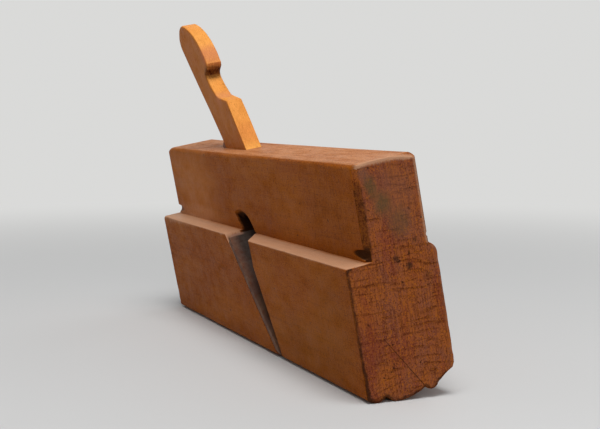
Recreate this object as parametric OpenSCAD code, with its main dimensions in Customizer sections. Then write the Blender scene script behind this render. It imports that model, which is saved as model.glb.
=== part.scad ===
// Complex moulding plane: a one-piece beech stock, a tapered wedge and a shouldered iron.
// Sizes are in millimetres. The plane is drawn upright, with x from heel to toe, y from the
// escapement side to the blind side and z up from the nominal sole line. At the end it is
// leaned onto the two swells of its sole that it stands on.

/* [Stock] */
// Length of the stock from heel to toe
stock_len = 241.3; // [225:0.1:260]
// Height of the stock above the nominal sole line
stock_h = 89.3; // [84:0.1:98]
// Thickness of the lower part
body_w = 39.4; // [38:0.1:46]
// Height of the ledge on the escapement side
ledge_h = 51.6; // [48:0.1:54]
// Depth of the ledge
ledge_d = 9.4; // [7:0.1:11]
// Thickness of the upper part, the grip
grip_w = 27.2; // [25:0.1:28.4]
// Height of the rounded shoulder on the blind side
shoulder_h = 53.9; // [50:0.1:57]
// Radius of that shoulder
shoulder_r = 4.8; // [2:0.1:6]

/* [Worn and chamfered edges] */
// Radius of the top corner at the heel
heel_r = 8; // [2:0.5:14]
// Bevel of the top edge at the toe
toe_bevel = 0.8; // [0.3:0.1:3]
// Radius of the long top edge on the escapement side
side_edge_r = 2; // [0.5:0.1:3]
// Radius of the long top edge on the blind side
blind_edge_r = 3.6; // [0.5:0.1:6]
// Width of the chamfers on the grip's corners on the escapement side, along each face
chamfer = 2.3; // [1:0.1:3.5]
// Width of the chamfers on its corners on the blind side
blind_chamfer = 1; // [0.6:0.1:3]
// Height of the gouge cut above the ledge
chamfer_stop = 2.9; // [2.6:0.1:6]
// Radius of the gouge cut that ends each chamfer on the escapement side
gouge_r = 2.1; // [1.5:0.1:2.5]
// Length of the gouge cut along the face
gouge_len = 12.4; // [6:0.1:16]
// Radius of the smaller gouge cuts on the blind side
blind_gouge_r = 0.9; // [0.7:0.1:2.5]

/* [Sole profile] */
// Distance from the escapement side to the lowest line of the first swell
swell_at = 4.5; // [3.5:0.1:5]
// Drop of the first swell
swell_drop = 2.4; // [2:0.05:2.7]
// Distance from the escapement side to the first quirk
quirk_1_at = 8; // [7:0.1:9]
// Drop of the first quirk
quirk_1_drop = 0.7; // [0.2:0.1:1.2]
// Distance from the escapement side to the lowest line of the main round
round_at = 14.8; // [13.5:0.1:16.5]
// Drop of the main round
round_drop = 4.3; // [3.9:0.05:4.8]
// Distance from the escapement side to the second quirk
quirk_2_at = 25.2; // [23:0.1:26.5]
// Drop of the second quirk
quirk_2_drop = 1.8; // [1:0.1:2.2]
// Distance from the escapement side to the lowest line of the small bead
bead_at = 28; // [27.4:0.1:29]
// Drop of the small bead
bead_drop = 3.4; // [2.8:0.1:3.6]
// Distance from the escapement side to the end of the small bead
bead_end_at = 30.9; // [30:0.1:32]
// Drop of the end of the small bead
bead_end_drop = 1.9; // [1:0.1:2.2]
// Width of the eased corner on the blind side
corner_w = 1.2; // [0.5:0.1:2]
// Height of the lower end of that corner
corner_low = 2.6; // [1.5:0.1:3.2]
// Height of its upper end
corner_high = 4.4; // [4:0.1:8]
// Hollow of the bevel between the bead and that corner
bevel_hollow = 0.45; // [0:0.05:0.9]

/* [Bed, mouth and escapement] */
// Distance from the escapement side to the middle of the mortise
wedge_mid = 22.1; // [21.5:0.1:23.5]
// Pitch of the bed
bed_angle = 50; // [48:0.5:52]
// Distance from the toe to the foot of the bed at the nominal sole line
bed_to_toe = 93.4; // [88:0.1:100]
// Mouth opening in front of the iron, along the sole
mouth_open = 2.7; // [2:0.1:4]
// Pitch of the wear, the front wall of the throat
wear_angle = 66; // [64:0.5:68]
// Height of the wear
wear_h = 48; // [44:0.5:49.5]
// Distance along the bed from the sole line to the end of the iron's slot
slot_len = 73; // [71.5:0.1:75]
// Extra depth of the slot in front of the iron at that end
slot_ease = 1; // [0.3:0.1:2]
// Distance along the bed to the centre line of the conical escapement
eye_along = 60.3; // [58:0.1:62]
// Depth of that centre line behind the bed
eye_back = 4.1; // [3:0.1:5]
// Radius of the cone where it meets the escapement side
eye_r = 31.8; // [29:0.1:33]

/* [Iron] */
// Thickness of the iron
iron_t = 3.4; // [2.8:0.1:3.8]
// Width of the blade
blade_w = 31.5; // [30.5:0.1:32]
// Set-in of the blade from the escapement side
blade_in = 0.25; // [0.1:0.05:0.5]
// Distance from the sole line to the blade's shoulders, along the bed
shoulder_at = 64; // [62:0.1:65]
// Radius of the shoulders' outer corners
blade_corner_r = 2.6; // [1:0.1:4]
// Radius of the inner corners beside the tang
tang_fillet_r = 2.8; // [1:0.1:5]
// Width of the tang
tang_w = 7.8; // [6.4:0.1:8]
// Length of the tang that stands above the top of the stock, along the bed
tang_out = 2.5; // [1:0.1:8]
// Radius of the tang's end corners
tang_corner_r = 1.6; // [0.5:0.1:3]
// Clearance angle of the ground edge behind the cutting line
clearance_angle = 14; // [8:1:20]
// Set-back of the cutting line behind the sole
edge_back = 0.1; // [0:0.05:0.3]

/* [Wedge] */
// Width of the wedge
wedge_w = 8.1; // [7.8:0.1:9.4]
// Taper of the wedge
wedge_angle = 7.2; // [6:0.1:9]
// Thickness of the wedge where it enters the stock
wedge_t = 24.2; // [22:0.1:25]
// Length of the wedge inside the stock, along the iron
wedge_in = 64.5; // [58:0.5:68]
// Thickness of the wedge's tip
tip_t = 1.6; // [1:0.1:3]
// Length of the bevel that sharpens the tip
tip_len = 26; // [20:0.5:30]
// Length from the stock to the step below the neck
step_at = 11; // [10:0.1:13]
// Length of the step's slope
step_len = 9; // [6:0.1:11]
// Thickness at the foot of the neck
neck_foot_t = 16.9; // [16:0.1:19]
// Thickness of the neck below the head
neck_t = 14.9; // [13:0.1:16]
// Hollow of the neck
neck_hollow = 0.6; // [0.3:0.1:1.2]
// Length from the stock to the scoop under the head
notch_at = 34.1; // [33:0.1:37]
// Radius of that scoop
notch_r = 1.9; // [1.5:0.1:3]
// Eased width of the step's and the head's outer corners
wedge_ease = 1.3; // [0.6:0.1:1.8]
// Length from the stock to the thickest part of the head
head_top_at = 45.5; // [44:0.5:49]
// Thickness of the head there
head_t = 23.3; // [22:0.1:24.5]
// Length from the stock to the tip of the head
head_at = 74.7; // [71:0.1:79]
// Radius of the head's front curve
head_r = 42.8; // [38:0.1:50]

/* [Fits] */
// Gap between the iron and the bed
bed_gap = 0.05; // [0.03:0.01:0.1]
// Gap between the wedge and the iron, and between the wedge and the mortise
wedge_gap = 0.05; // [0.03:0.01:0.1]
// Gap on each side of the wedge in its mortise
side_gap = 0.06; // [0.04:0.01:0.1]
// Gap between the blade's edge and the end of its slot across the stock
blade_gap = 0.3; // [0.2:0.05:0.5]

/* [Scribed spring line] */
// Angle of the scribed line from the upright
spring_angle = 31.8; // [28:0.1:36]
// Length of the scribed line
spring_len = 31; // [20:0.5:34]
// Width and depth of the scribed line
scribe = 0.35; // [0.2:0.05:0.6]

/* [Hidden] */
$fn = 64;
arc_steps = 10;

// Reach of a cutting shape past the whole plane, past a face it must clear, and past a face
// that trims it
far = 400;
over = 1;
run_on = 20;

// Where the pieces lie across the stock
grip_y0 = ledge_d;
grip_y1 = ledge_d + grip_w;
slot_y1 = blade_in + blade_w + blade_gap;

// Where the bed and the mouth lie along the stock
bed_x = stock_len - bed_to_toe;
mouth_x = bed_x + (bed_gap + iron_t) / sin(bed_angle) + mouth_open;
wedge_foot_t = bed_gap + iron_t + wedge_gap;
wedge_s0 = (stock_h - wedge_foot_t * cos(bed_angle)) / sin(bed_angle);
iron_end = stock_h / sin(bed_angle) + tang_out;

// A point in the upright lengthwise plane, from its distance up the bed and in front of it
function bed_pt(s, t) = [
    bed_x - s * cos(bed_angle) + t * sin(bed_angle),
    s * sin(bed_angle) + t * cos(bed_angle)
];

// Points of an arc, centre c, from angle a0 to a1
function arc(c, r, a0, a1) = [
    for (i = [0:arc_steps])
        let (a = a0 + (a1 - a0) * i / arc_steps)
        c + r * [cos(a), sin(a)]
];

// Radius of a swell that is level at its lowest point and passes through an end point
function swell_r(low, end) =
    (pow(end[0] - low[0], 2) + pow(end[1] - low[1], 2)) / (2 * (end[1] - low[1]));

// Points of that swell, from the lowest point to the end
function swell(low, end) =
    let (r = swell_r(low, end), a = atan2(end[0] - low[0], r - end[1] + low[1]))
    [for (i = [0:arc_steps]) low + r * [sin(a * i / arc_steps), 1 - cos(a * i / arc_steps)]];

// Points of a shallow hollow between two points
function hollow(p, q, rise) = [
    for (i = [1:arc_steps - 1])
        let (u = i / arc_steps)
        p + (q - p) * u + [0, 4 * rise * u * (1 - u)]
];

function reversed(pts) = [for (i = [len(pts) - 1:-1:0]) pts[i]];

// Points of a list without its last one
function but_last(pts) = [for (i = [0:len(pts) - 2]) pts[i]];

// The sole from the escapement side to the blind side
edge_0 = [0, 0];
low_1 = [swell_at, -swell_drop];
quirk_1 = [quirk_1_at, -quirk_1_drop];
low_2 = [round_at, -round_drop];
quirk_2 = [quirk_2_at, -quirk_2_drop];
low_3 = [bead_at, -bead_drop];
bead_end = [bead_end_at, -bead_end_drop];
corner_0 = [body_w - corner_w, corner_low];
sole_pts = concat(
    but_last(reversed(swell(low_1, edge_0))),
    but_last(swell(low_1, quirk_1)),
    but_last(reversed(swell(low_2, quirk_1))),
    but_last(swell(low_2, quirk_2)),
    but_last(reversed(swell(low_3, quirk_2))),
    swell(low_3, bead_end),
    hollow(bead_end, corner_0, bevel_hollow),
    [corner_0, [body_w, corner_high]]
);

// The plane leans until the first swell and the main round stand on one level
stand_1_r = swell_r(low_1, edge_0);
stand_2_r = swell_r(low_2, quirk_1);
stand_1 = low_1 + [0, stand_1_r];
stand_2 = low_2 + [0, stand_2_r];
stand_d = stand_2 - stand_1;
lean = asin((stand_2_r - stand_1_r) / norm(stand_d)) - atan2(stand_d[1], stand_d[0]);
stand_h = stand_1_r - stand_1[0] * sin(lean) - stand_1[1] * cos(lean);

// Radius of the head's end, which runs from its front curve round to the back of the wedge
head_run = head_at - head_top_at;
head_rise = 2 * head_r - head_t - head_run;
head_end_r = sqrt(
    pow(head_rise, 2) - pow(head_run, 2) - pow(head_r - head_t, 2) + pow(head_r, 2)
) - head_rise;
head_c = [head_top_at, head_t - head_r];
head_end_c = [head_at - head_end_r, head_end_r];
head_turn = atan2(head_end_c[1] - head_c[1], head_end_c[0] - head_c[0]);

// Middle of the plane's width once it leans, from the wedge's head to the blind side's low corner
head_top_z = bed_pt(wedge_s0 + head_end_c[0], wedge_foot_t + head_end_c[1])[1] + head_end_r;
lean_low = (wedge_mid - wedge_w / 2) * cos(lean) - head_top_z * sin(lean);
lean_high = body_w * cos(lean) - corner_high * sin(lean);
lean_mid = (lean_low + lean_high) / 2;

// Outline of the lower part, seen from the heel
body_pts = concat(
    sole_pts,
    arc([body_w - shoulder_r, shoulder_h - shoulder_r], shoulder_r, 0, 90),
    [[wedge_mid, shoulder_h], [wedge_mid, ledge_h], [0, ledge_h]]
);

// Outline of the grip, seen from the heel. It starts inside the lower part.
grip_z0 = ledge_h - ledge_d;
grip_pts = concat(
    [[grip_y0, grip_z0], [grip_y1, grip_z0]],
    arc([grip_y1 - blind_edge_r, stock_h - blind_edge_r], blind_edge_r, 0, 90),
    arc([grip_y0 + side_edge_r, stock_h - side_edge_r], side_edge_r, 90, 180)
);

// Outline of the stock, seen from the escapement side
side_pts = concat(
    [[0, -far], [stock_len, -far], [stock_len, stock_h - toe_bevel], [stock_len - toe_bevel, stock_h]],
    arc([heel_r, stock_h - heel_r], heel_r, 90, 180)
);

// The throat: the iron's slot, the wear and the mouth
wear_top = [mouth_x - wear_h / tan(wear_angle), wear_h];
mouth_low = -2 * round_drop;
throat_pts = [
    [bed_x - mouth_low / tan(bed_angle), mouth_low],
    [mouth_x - mouth_low / tan(wear_angle), mouth_low],
    wear_top,
    bed_pt(slot_len, bed_gap + iron_t + slot_ease),
    bed_pt(slot_len, 0)
];

// The mortise that the tang and the wedge share. It opens into the throat at the top of the wear.
function wedge_front(s) = wedge_t + s * tan(wedge_angle);
mortise_s0 = (bed_x - wear_top[0]) * cos(bed_angle) + wear_top[1] * sin(bed_angle);
mortise_s1 = wedge_s0 + run_on;
mortise_pts = [
    bed_pt(mortise_s0, 0),
    bed_pt(mortise_s0, wedge_foot_t + wedge_front(mortise_s0 - wedge_s0) + wedge_gap),
    bed_pt(mortise_s1, wedge_foot_t + wedge_front(run_on) + wedge_gap),
    bed_pt(mortise_s1, 0)
];
mortise_y0 = wedge_mid - wedge_w / 2 - side_gap;
mortise_y1 = wedge_mid + wedge_w / 2 + side_gap;

// Everything in front of the bed, which trims the cone of the escapement
before_bed_pts = [
    bed_pt(-far, 0),
    bed_pt(-far, far),
    bed_pt(far, far),
    bed_pt(far, 0)
];

// Outline of the wedge. Each point is its length above the stock and its thickness.
tip_front = tip_len - wedge_in;
step_low = step_at - wedge_ease;
neck_start = [step_at + step_len, neck_foot_t];
neck_end = [notch_at, neck_t];
scoop_c = [notch_at, neck_t + notch_r];
lip_s = notch_at + notch_r;
lip_turn = 90 + asin((head_top_at - lip_s - wedge_ease) / head_r);
wedge_outline = concat(
    [[-wedge_in, 0], [-wedge_in, tip_t], [tip_front, wedge_front(tip_front)]],
    [[step_low, wedge_front(step_low)], [step_at + wedge_ease / 2, wedge_front(step_at) - wedge_ease / 2]],
    [neck_start],
    hollow(neck_start, neck_end, -neck_hollow),
    arc(scoop_c, notch_r, 270, 360),
    [[lip_s, head_t - 2 * wedge_ease]],
    arc(head_c, head_r, lip_turn, head_turn),
    arc(head_end_c, head_end_r, head_turn, -90)
);
wedge_pts = [for (p = wedge_outline) bed_pt(wedge_s0 + p[0], wedge_foot_t + p[1])];

// Outline of the iron in its own plane: across the stock, then up the bed
blade_y0 = blade_in;
blade_y1 = blade_in + blade_w;
tang_y0 = wedge_mid - tang_w / 2;
tang_y1 = wedge_mid + tang_w / 2;
outer_r = min(blade_corner_r, (blade_y1 - tang_y1) / 2);
inner_r = min(tang_fillet_r, (blade_y1 - tang_y1) / 2);
iron_pts = concat(
    [[blade_y0, -run_on], [blade_y1, -run_on]],
    arc([blade_y1 - outer_r, shoulder_at - outer_r], outer_r, 0, 90),
    arc([tang_y1 + inner_r, shoulder_at + inner_r], inner_r, 270, 180),
    arc([tang_y1 - tang_corner_r, iron_end - tang_corner_r], tang_corner_r, 0, 90),
    arc([tang_y0 + tang_corner_r, iron_end - tang_corner_r], tang_corner_r, 90, 180),
    arc([tang_y0 - inner_r, shoulder_at + inner_r], inner_r, 0, -90),
    arc([blade_y0 + outer_r, shoulder_at - outer_r], outer_r, 90, 180)
);

// The sole as the ground edge of the iron carries it back, at the clearance angle
edge_x = bed_x + (bed_gap + iron_t) / sin(bed_angle);
edge_scale = cos(clearance_angle) - sin(clearance_angle) / tan(bed_angle);
grind_pts = concat(
    [[-far, 0]],
    [for (p = sole_pts) [p[0], p[1] * edge_scale]],
    [[far, corner_high * edge_scale], [far, far], [-far, far]]
);

// Draws an outline of the lengthwise plane from y0 to y1 across the stock
module across(pts, y0, y1) {
    translate([0, y1, 0])
        rotate([90, 0, 0])
            linear_extrude(y1 - y0)
                polygon(pts);
}

// Draws an outline seen from the heel, from x0 to x1 along the stock
module along(pts, x0, x1) {
    translate([x0, 0, 0])
        rotate([90, 0, 90])
            linear_extrude(x1 - x0)
                polygon(pts);
}

// Leans the upright plane onto its sole and centres it over the origin
module standing() {
    translate([-stock_len / 2, -lean_mid, stand_h])
        rotate([lean, 0, 0])
            children();
}

// A chamfer on the heel corner of a grip face at y = 0, with the gouge cut at its foot. The gouge
// enters at the corner and rises out of the face at the end of its length.
module stopped_chamfer(foot, size, radius) {
    slope = atan(radius / gouge_len);
    lead = gouge_len / 4;
    translate([0, 0, foot])
        rotate([0, 0, 45])
            linear_extrude(stock_h)
                square(size * sqrt(2), center = true);
    translate([0, 0, foot + chamfer_stop])
        rotate([0, 0, -slope])
            translate([-lead, 0, 0])
                rotate([0, 90, 0])
                    cylinder(h = lead + gouge_len, r = radius);
}

// The four stopped chamfers of the grip
module stopped_chamfers() {
    for (at_toe = [0, 1], at_blind = [0, 1])
        translate([at_toe * stock_len, at_blind ? grip_y1 : grip_y0, 0])
            mirror([at_toe, 0, 0])
                mirror([0, at_blind, 0])
                    if (at_blind) stopped_chamfer(shoulder_h, blind_chamfer, blind_gouge_r);
                    else stopped_chamfer(ledge_h, chamfer, gouge_r);
}

module stock_blank() {
    intersection() {
        union() {
            along(body_pts, 0, stock_len);
            along(grip_pts, 0, stock_len);
        }
        across(side_pts, -over, body_w + over);
    }
}

module escapement() {
    intersection() {
        translate([bed_pt(eye_along, -eye_back)[0], wedge_mid, bed_pt(eye_along, -eye_back)[1]])
            rotate([90, 0, 0])
                cylinder(h = 2 * wedge_mid, r1 = 0, r2 = 2 * eye_r);
        across(before_bed_pts, -wedge_mid - over, wedge_mid);
    }
}

module spring_line() {
    translate([stock_len, quirk_2_at, -quirk_2_drop])
        rotate([spring_angle, 0, 0])
            rotate([0, 0, 45])
                translate([-scribe / 2, -scribe / 2, 0])
                    cube([scribe, scribe, spring_len]);
}

module stock() {
    color("peru")
        standing()
            difference() {
                stock_blank();
                across(throat_pts, -over, slot_y1);
                across(mortise_pts, mortise_y0, mortise_y1);
                escapement();
                stopped_chamfers();
                spring_line();
            }
}

module wedge() {
    color("orange")
        standing()
            across(wedge_pts, wedge_mid - wedge_w / 2, wedge_mid + wedge_w / 2);
}

module iron() {
    color("dimgray")
        standing()
            intersection() {
                translate([bed_x, 0, 0])
                    rotate([0, bed_angle - 90, 0])
                        rotate([90, 0, 90])
                            translate([0, 0, bed_gap])
                                linear_extrude(iron_t)
                                    polygon(iron_pts);
                translate([edge_x, 0, edge_back])
                    rotate([0, clearance_angle, 0])
                        along(grind_pts, -far / 2, far / 2);
            }
}

stock();
wedge();
iron();
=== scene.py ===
"""Studio scene of an old beech moulding plane, with its wedge and its iron.

Shapes are worked out in millimetres in the upright plane: x from heel to toe, y from the
escapement side to the blind side, z up from the sole. The whole is then leaned onto its sole
and moved into the frame, in metres.
"""

import functools
import logging
import math
from dataclasses import dataclass
from enum import Enum
from typing import Callable, Sequence

import bmesh
import bpy
import numpy as np
from mathutils import Euler, Matrix, Vector
from mathutils.geometry import delaunay_2d_cdt


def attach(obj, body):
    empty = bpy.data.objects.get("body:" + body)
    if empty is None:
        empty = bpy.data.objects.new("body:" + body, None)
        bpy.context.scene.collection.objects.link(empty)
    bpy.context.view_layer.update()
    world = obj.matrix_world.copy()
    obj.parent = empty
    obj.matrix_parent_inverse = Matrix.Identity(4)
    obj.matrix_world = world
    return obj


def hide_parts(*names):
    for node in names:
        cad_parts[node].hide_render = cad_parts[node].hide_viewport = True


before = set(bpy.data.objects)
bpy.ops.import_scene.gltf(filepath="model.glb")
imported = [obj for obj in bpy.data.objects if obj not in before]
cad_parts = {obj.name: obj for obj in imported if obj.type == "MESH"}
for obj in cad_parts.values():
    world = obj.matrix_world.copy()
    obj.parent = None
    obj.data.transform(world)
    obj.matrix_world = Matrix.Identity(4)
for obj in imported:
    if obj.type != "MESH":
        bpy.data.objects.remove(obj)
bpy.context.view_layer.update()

LOG = logging.getLogger("moulding_plane")
MM = 0.001
IMAGE_WIDTH = 600
MERGE_DISTANCE, SLIVER_LENGTH = 2e-6, 1e-6
WOBBLE_HEIGHTS, WOBBLE_START = 512, 64

Array = np.ndarray
Numbers = Sequence[float]
Colour = tuple[float, float, float]
Faces = list[list[int]]
Socket = bpy.types.NodeSocket
Value = Socket | float
Inputs = dict[str | int, Value | Numbers]


def srgb(red: int, green: int, blue: int) -> Colour:
    """Turns an 8-bit screen colour into the linear colour that a shader takes.

    Args:
        red, green, blue: The screen values, 0 to 255.

    Returns:
        The three linear values.
    """
    v = np.array([red, green, blue]) / 255
    lin = np.where(v <= 0.04045, v / 12.92, ((v + 0.055) / 1.055) ** 2.4)
    return tuple(float(c) for c in lin)


# Shapes

def arc(centre: Numbers, radius: float, start: float, end: float, steps: int = 12) -> Array:
    """Points of a circle's arc: centre plus radius times (cosine, sine) of an even run of angles.

    Args:
        centre: The circle's centre.
        radius: The circle's radius.
        start, end: The first and last angle in degrees.
        steps: The number of chords.

    Returns:
        An array of steps + 1 points.
    """
    a = np.radians(np.linspace(start, end, steps + 1))
    return np.asarray(centre) + radius * np.stack([np.cos(a), np.sin(a)], axis=1)


def swell_radius(low: Numbers, end: Numbers) -> float:
    """Radius of a swell level at its lowest point: (run^2 + rise^2) / (2 rise)."""
    run, rise = np.subtract(end, low)
    return float((run**2 + rise**2) / (2 * rise))


def swell(low: Numbers, end: Numbers, steps: int = 10) -> Array:
    """Half of a swell of the sole.

    The points are low + r (sin a, 1 - cos a), where a runs evenly from zero to the angle at
    which the circle meets the end.

    Args:
        low: The swell's lowest point.
        end: Its end, at a quirk or at the sole's side.
        steps: The number of chords.

    Returns:
        The points from the lowest one to the end.
    """
    r = swell_radius(low, end)
    full = math.atan2(end[0] - low[0], r - end[1] + low[1])
    a = np.linspace(0, full, steps + 1)
    return np.asarray(low) + r * np.stack([np.sin(a), 1 - np.cos(a)], axis=1)


def hollow(p: Numbers, q: Numbers, rise: float, steps: int = 10) -> Array:
    """Points between two ends of a shallow parabola: the chord plus 4 rise u (1 - u) upwards."""
    u = np.linspace(0, 1, steps + 1)[1:-1, None]
    return np.asarray(p) + np.subtract(q, p) * u + np.hstack([0 * u, 4 * rise * u * (1 - u)])


def corner(at: Numbers, first: Numbers, second: Numbers, steps: int = 6) -> tuple[Array, Array]:
    """A rounded corner that grows with its radius: points are at + radius times the second array.

    The centre of the round lies at minus (n1 + n2) / (1 + n1.n2) radii from the corner, and
    the points stand out from it along normals that turn evenly from n1 to n2.

    Args:
        at: The sharp corner.
        first, second: The outward normals on its two sides.
        steps: The number of chords.

    Returns:
        The corner, repeated, and what is added for each unit of the radius.
    """
    n1, n2 = np.asarray(first, float), np.asarray(second, float)
    n1, n2 = n1 / np.linalg.norm(n1), n2 / np.linalg.norm(n2)
    turn = math.atan2(n1[0] * n2[1] - n1[1] * n2[0], float(n1 @ n2))
    a = math.atan2(n1[1], n1[0]) + np.linspace(0, 1, steps + 1) * turn
    out = np.stack([np.cos(a), np.sin(a)], 1) - (n1 + n2) / (1 + n1 @ n2)
    return np.repeat([at], steps + 1, axis=0).astype(float), out


def between(p: Numbers, q: Numbers, pitch: float = 2.4, clear: float = 0.0) -> Array:
    """Even points on a straight.

    Args:
        p, q: The straight's ends.
        pitch: The spacing that is aimed at.
        clear: How far the first and last point keep from the ends.

    Returns:
        The points from p to q, two at least.
    """
    p, q = np.asarray(p, float), np.asarray(q, float)
    run = float(np.linalg.norm(q - p))
    count = max(2, int(round((run - 2 * clear) / pitch)) + 1)
    return p + (q - p) * (np.linspace(clear, run - clear, count) / run)[:, None]


def wobble(at: Array, pitch: float, seed: int) -> Array:
    """A smooth random curve between -1 and 1.

    Random heights stand one pitch apart, and between two of them the curve is eased by
    (1 - cos(pi f)) / 2 of the way.

    Args:
        at: Where the curve is read, in millimetres.
        pitch: The distance between the random heights.
        seed: The seed of the heights.

    Returns:
        The curve's values, in the shape of at.
    """
    heights = np.random.default_rng(seed).uniform(-1, 1, WOBBLE_HEIGHTS)
    place = np.asarray(at) / pitch + WOBBLE_START
    cell = np.floor(place).astype(int)
    ease = (1 - np.cos(np.pi * (place - cell))) / 2
    low, high = heights[cell % WOBBLE_HEIGHTS], heights[(cell + 1) % WOBBLE_HEIGHTS]
    return low * (1 - ease) + high * ease


def outline_normals(ring: Array) -> Array:
    """Unit normals of an outline: each edge turned a right angle outwards, averaged at a point.

    Args:
        ring: A closed outline that runs anticlockwise.

    Returns:
        One outward normal per point.
    """
    edge = np.roll(ring, -1, axis=0) - ring
    edge /= np.maximum(np.linalg.norm(edge, axis=1, keepdims=True), 1e-9)
    out = np.stack([edge[:, 1], -edge[:, 0]], axis=1)
    both = out + np.roll(out, 1, axis=0)
    return both / np.maximum(np.linalg.norm(both, axis=1, keepdims=True), 1e-9)


def outline_distance(points: Array, ring: Array) -> Array:
    """Distance of points from an outline: the least over its edges, with the foot of the
    perpendicular held between an edge's ends.

    Args:
        points: The points, an array (points, 2).
        ring: A closed outline.

    Returns:
        One distance per point.
    """
    ab = np.roll(ring, -1, axis=0) - ring
    ap = points[:, None, :] - ring[None]
    u = np.clip((ap * ab).sum(-1) / np.maximum((ab * ab).sum(-1), 1e-12), 0, 1)
    return np.linalg.norm(ap - u[..., None] * ab, axis=-1).min(1)


def inside_outline(points: Array, ring: Array) -> Array:
    """Whether points lie in an outline: one does if a ray from it crosses an odd number of edges.

    Args:
        points: The points, an array (points, 2).
        ring: A closed outline.

    Returns:
        One truth value per point.
    """
    a, b = ring[None], np.roll(ring, -1, axis=0)[None]
    p = points[:, None, :]
    spans = (a[..., 1] > p[..., 1]) != (b[..., 1] > p[..., 1])
    rise = np.where(np.abs(b[..., 1] - a[..., 1]) < 1e-12, 1e-12, b[..., 1] - a[..., 1])
    cross = a[..., 0] + (p[..., 1] - a[..., 1]) * (b[..., 0] - a[..., 0]) / rise
    return (spans & (p[..., 0] < cross)).sum(1) % 2 == 1


def rim_inset(depth: Array, radius: Array) -> Array:
    """Inset of a quarter-round rim at a depth below the end face: r - sqrt(r^2 - (r - d)^2)."""
    d = np.clip(radius - depth, 0, radius)
    return radius - np.sqrt(np.maximum(radius**2 - d**2, 0))


def hold(values: Array, low: Array | float, high: Array | float, give: float = 0.02) -> Array:
    """Holds values between limits, but lets a little through so that points keep their order."""
    held = np.clip(values, low, high)
    return held + give * (values - held)


def end_face(ring: Array, pitch: float) -> tuple[Array, Faces]:
    """Fills a flat outline with triangles over a grid of inner points.

    Args:
        ring: The outline, an array of points (a, b).
        pitch: The spacing of the inner points.

    Returns:
        The points and the triangles.
    """
    low, high = ring.min(0), ring.max(0)
    a, b = np.meshgrid(np.arange(low[0], high[0], pitch), np.arange(low[1], high[1], pitch))
    grid = np.stack([a.ravel(), b.ravel()], axis=1)
    grid = grid[inside_outline(grid, ring)]
    grid = grid[outline_distance(grid, ring) > 0.5 * pitch]
    points = [Vector(p) for p in np.vstack([ring, grid])]
    only_inside, tolerance = 1, 1e-5
    filled = delaunay_2d_cdt(points, [], [list(range(len(ring)))], only_inside, tolerance)
    return np.array([v[:] for v in filled[0]]), [list(f) for f in filled[2]]


def band_faces(count: int, around: int) -> Array:
    """The faces that join a run of closed rings.

    Args:
        count: The number of rings.
        around: The number of points in a ring.

    Returns:
        An array (faces, 4) of point numbers.
    """
    i, j = np.meshgrid(np.arange(count - 1), np.arange(around), indexing="ij")
    k = (j + 1) % around
    corners = [i * around + j, i * around + k, (i + 1) * around + k, (i + 1) * around + j]
    return np.stack(corners, -1).reshape(-1, 4)


@dataclass(frozen=True)
class Placing:
    """How the upright plane stands in the frame.

    Attributes:
        length: Length of the stock.
        lean: Angle of the lean about the x axis, in radians.
        middle: Middle of the leaned plane's width.
        lift: Height by which the leaned plane is raised onto its lowest points.
    """

    length: float
    lean: float
    middle: float
    lift: float

    def matrix(self) -> Matrix:
        """The move from upright millimetres to the frame's metres."""
        move = Matrix.Translation((-self.length / 2, -self.middle, self.lift))
        return Matrix.Scale(MM, 4) @ move @ Matrix.Rotation(self.lean, 4, "X")

    def apply(self, points: Array) -> Array:
        """Moves an array of upright points into the frame."""
        m = np.array(self.matrix())
        return points @ m[:3, :3].T + m[:3, 3]

    def undo(self, points: Array) -> Array:
        """Takes an array of the frame's points back to upright millimetres."""
        m = np.array(self.matrix().inverted())
        return points @ m[:3, :3].T + m[:3, 3]


@dataclass(frozen=True)
class Bed:
    """The bed of the iron, with its own coordinates: s up the bed, t in front of it.

    Attributes:
        foot_x: Where the bed meets the sole line.
        angle: Pitch of the bed, in radians.
    """

    foot_x: float
    angle: float

    def upright(self, s: Array | float, t: Array | float, y: Array | float) -> Array:
        """Turns the bed's coordinates into upright points.

        Args:
            s: Lengths up the bed from the sole line.
            t: Distances in front of the bed.
            y: Places across the stock.

        Returns:
            An array (..., 3) of upright points.
        """
        c, d = math.cos(self.angle), math.sin(self.angle)
        s, t, y = np.broadcast_arrays(np.asarray(s, float), t, y)
        return np.stack([self.foot_x - s * c + t * d, y, s * d + t * c], axis=-1)

    def lengthwise(self, s: Array | float, t: Array | float) -> Array:
        """The upright x and z of places on the bed's own plane."""
        return self.upright(s, t, 0)[..., [0, 2]]

    def matrix(self) -> Matrix:
        """The turn from (s, y, t) to upright (x, y, z)."""
        c, d = math.cos(self.angle), math.sin(self.angle)
        return Matrix(((-c, 0, d, self.foot_x), (0, 1, 0, 0), (d, 0, c, 0), (0, 0, 0, 1)))


# Meshes

def link(name: str, data: bpy.types.ID) -> bpy.types.Object:
    """Makes an object and links it to the scene.

    Args:
        name: The object's name.
        data: Its mesh, lamp or camera.

    Returns:
        The object.
    """
    obj = bpy.data.objects.new(name, data)
    bpy.context.scene.collection.objects.link(obj)
    return obj


def mesh_object(name: str, points: Array, faces: Faces, placing: Placing) -> bpy.types.Object:
    """Makes a closed mesh object from upright points.

    Args:
        name: The object's name.
        points: Upright points in millimetres.
        faces: The faces, as lists of point numbers.
        placing: How the upright plane stands in the frame.

    Returns:
        The object, its doubles merged and its faces outwards.
    """
    mesh = bpy.data.meshes.new(name)
    mesh.from_pydata(placing.apply(points).tolist(), [], faces)
    bm = bmesh.new()
    bm.from_mesh(mesh)
    bmesh.ops.remove_doubles(bm, verts=bm.verts, dist=MERGE_DISTANCE)
    bmesh.ops.dissolve_degenerate(bm, edges=bm.edges, dist=SLIVER_LENGTH)
    bmesh.ops.recalc_face_normals(bm, faces=bm.faces)
    bm.to_mesh(mesh)
    bm.free()
    return link(name, mesh)


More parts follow.
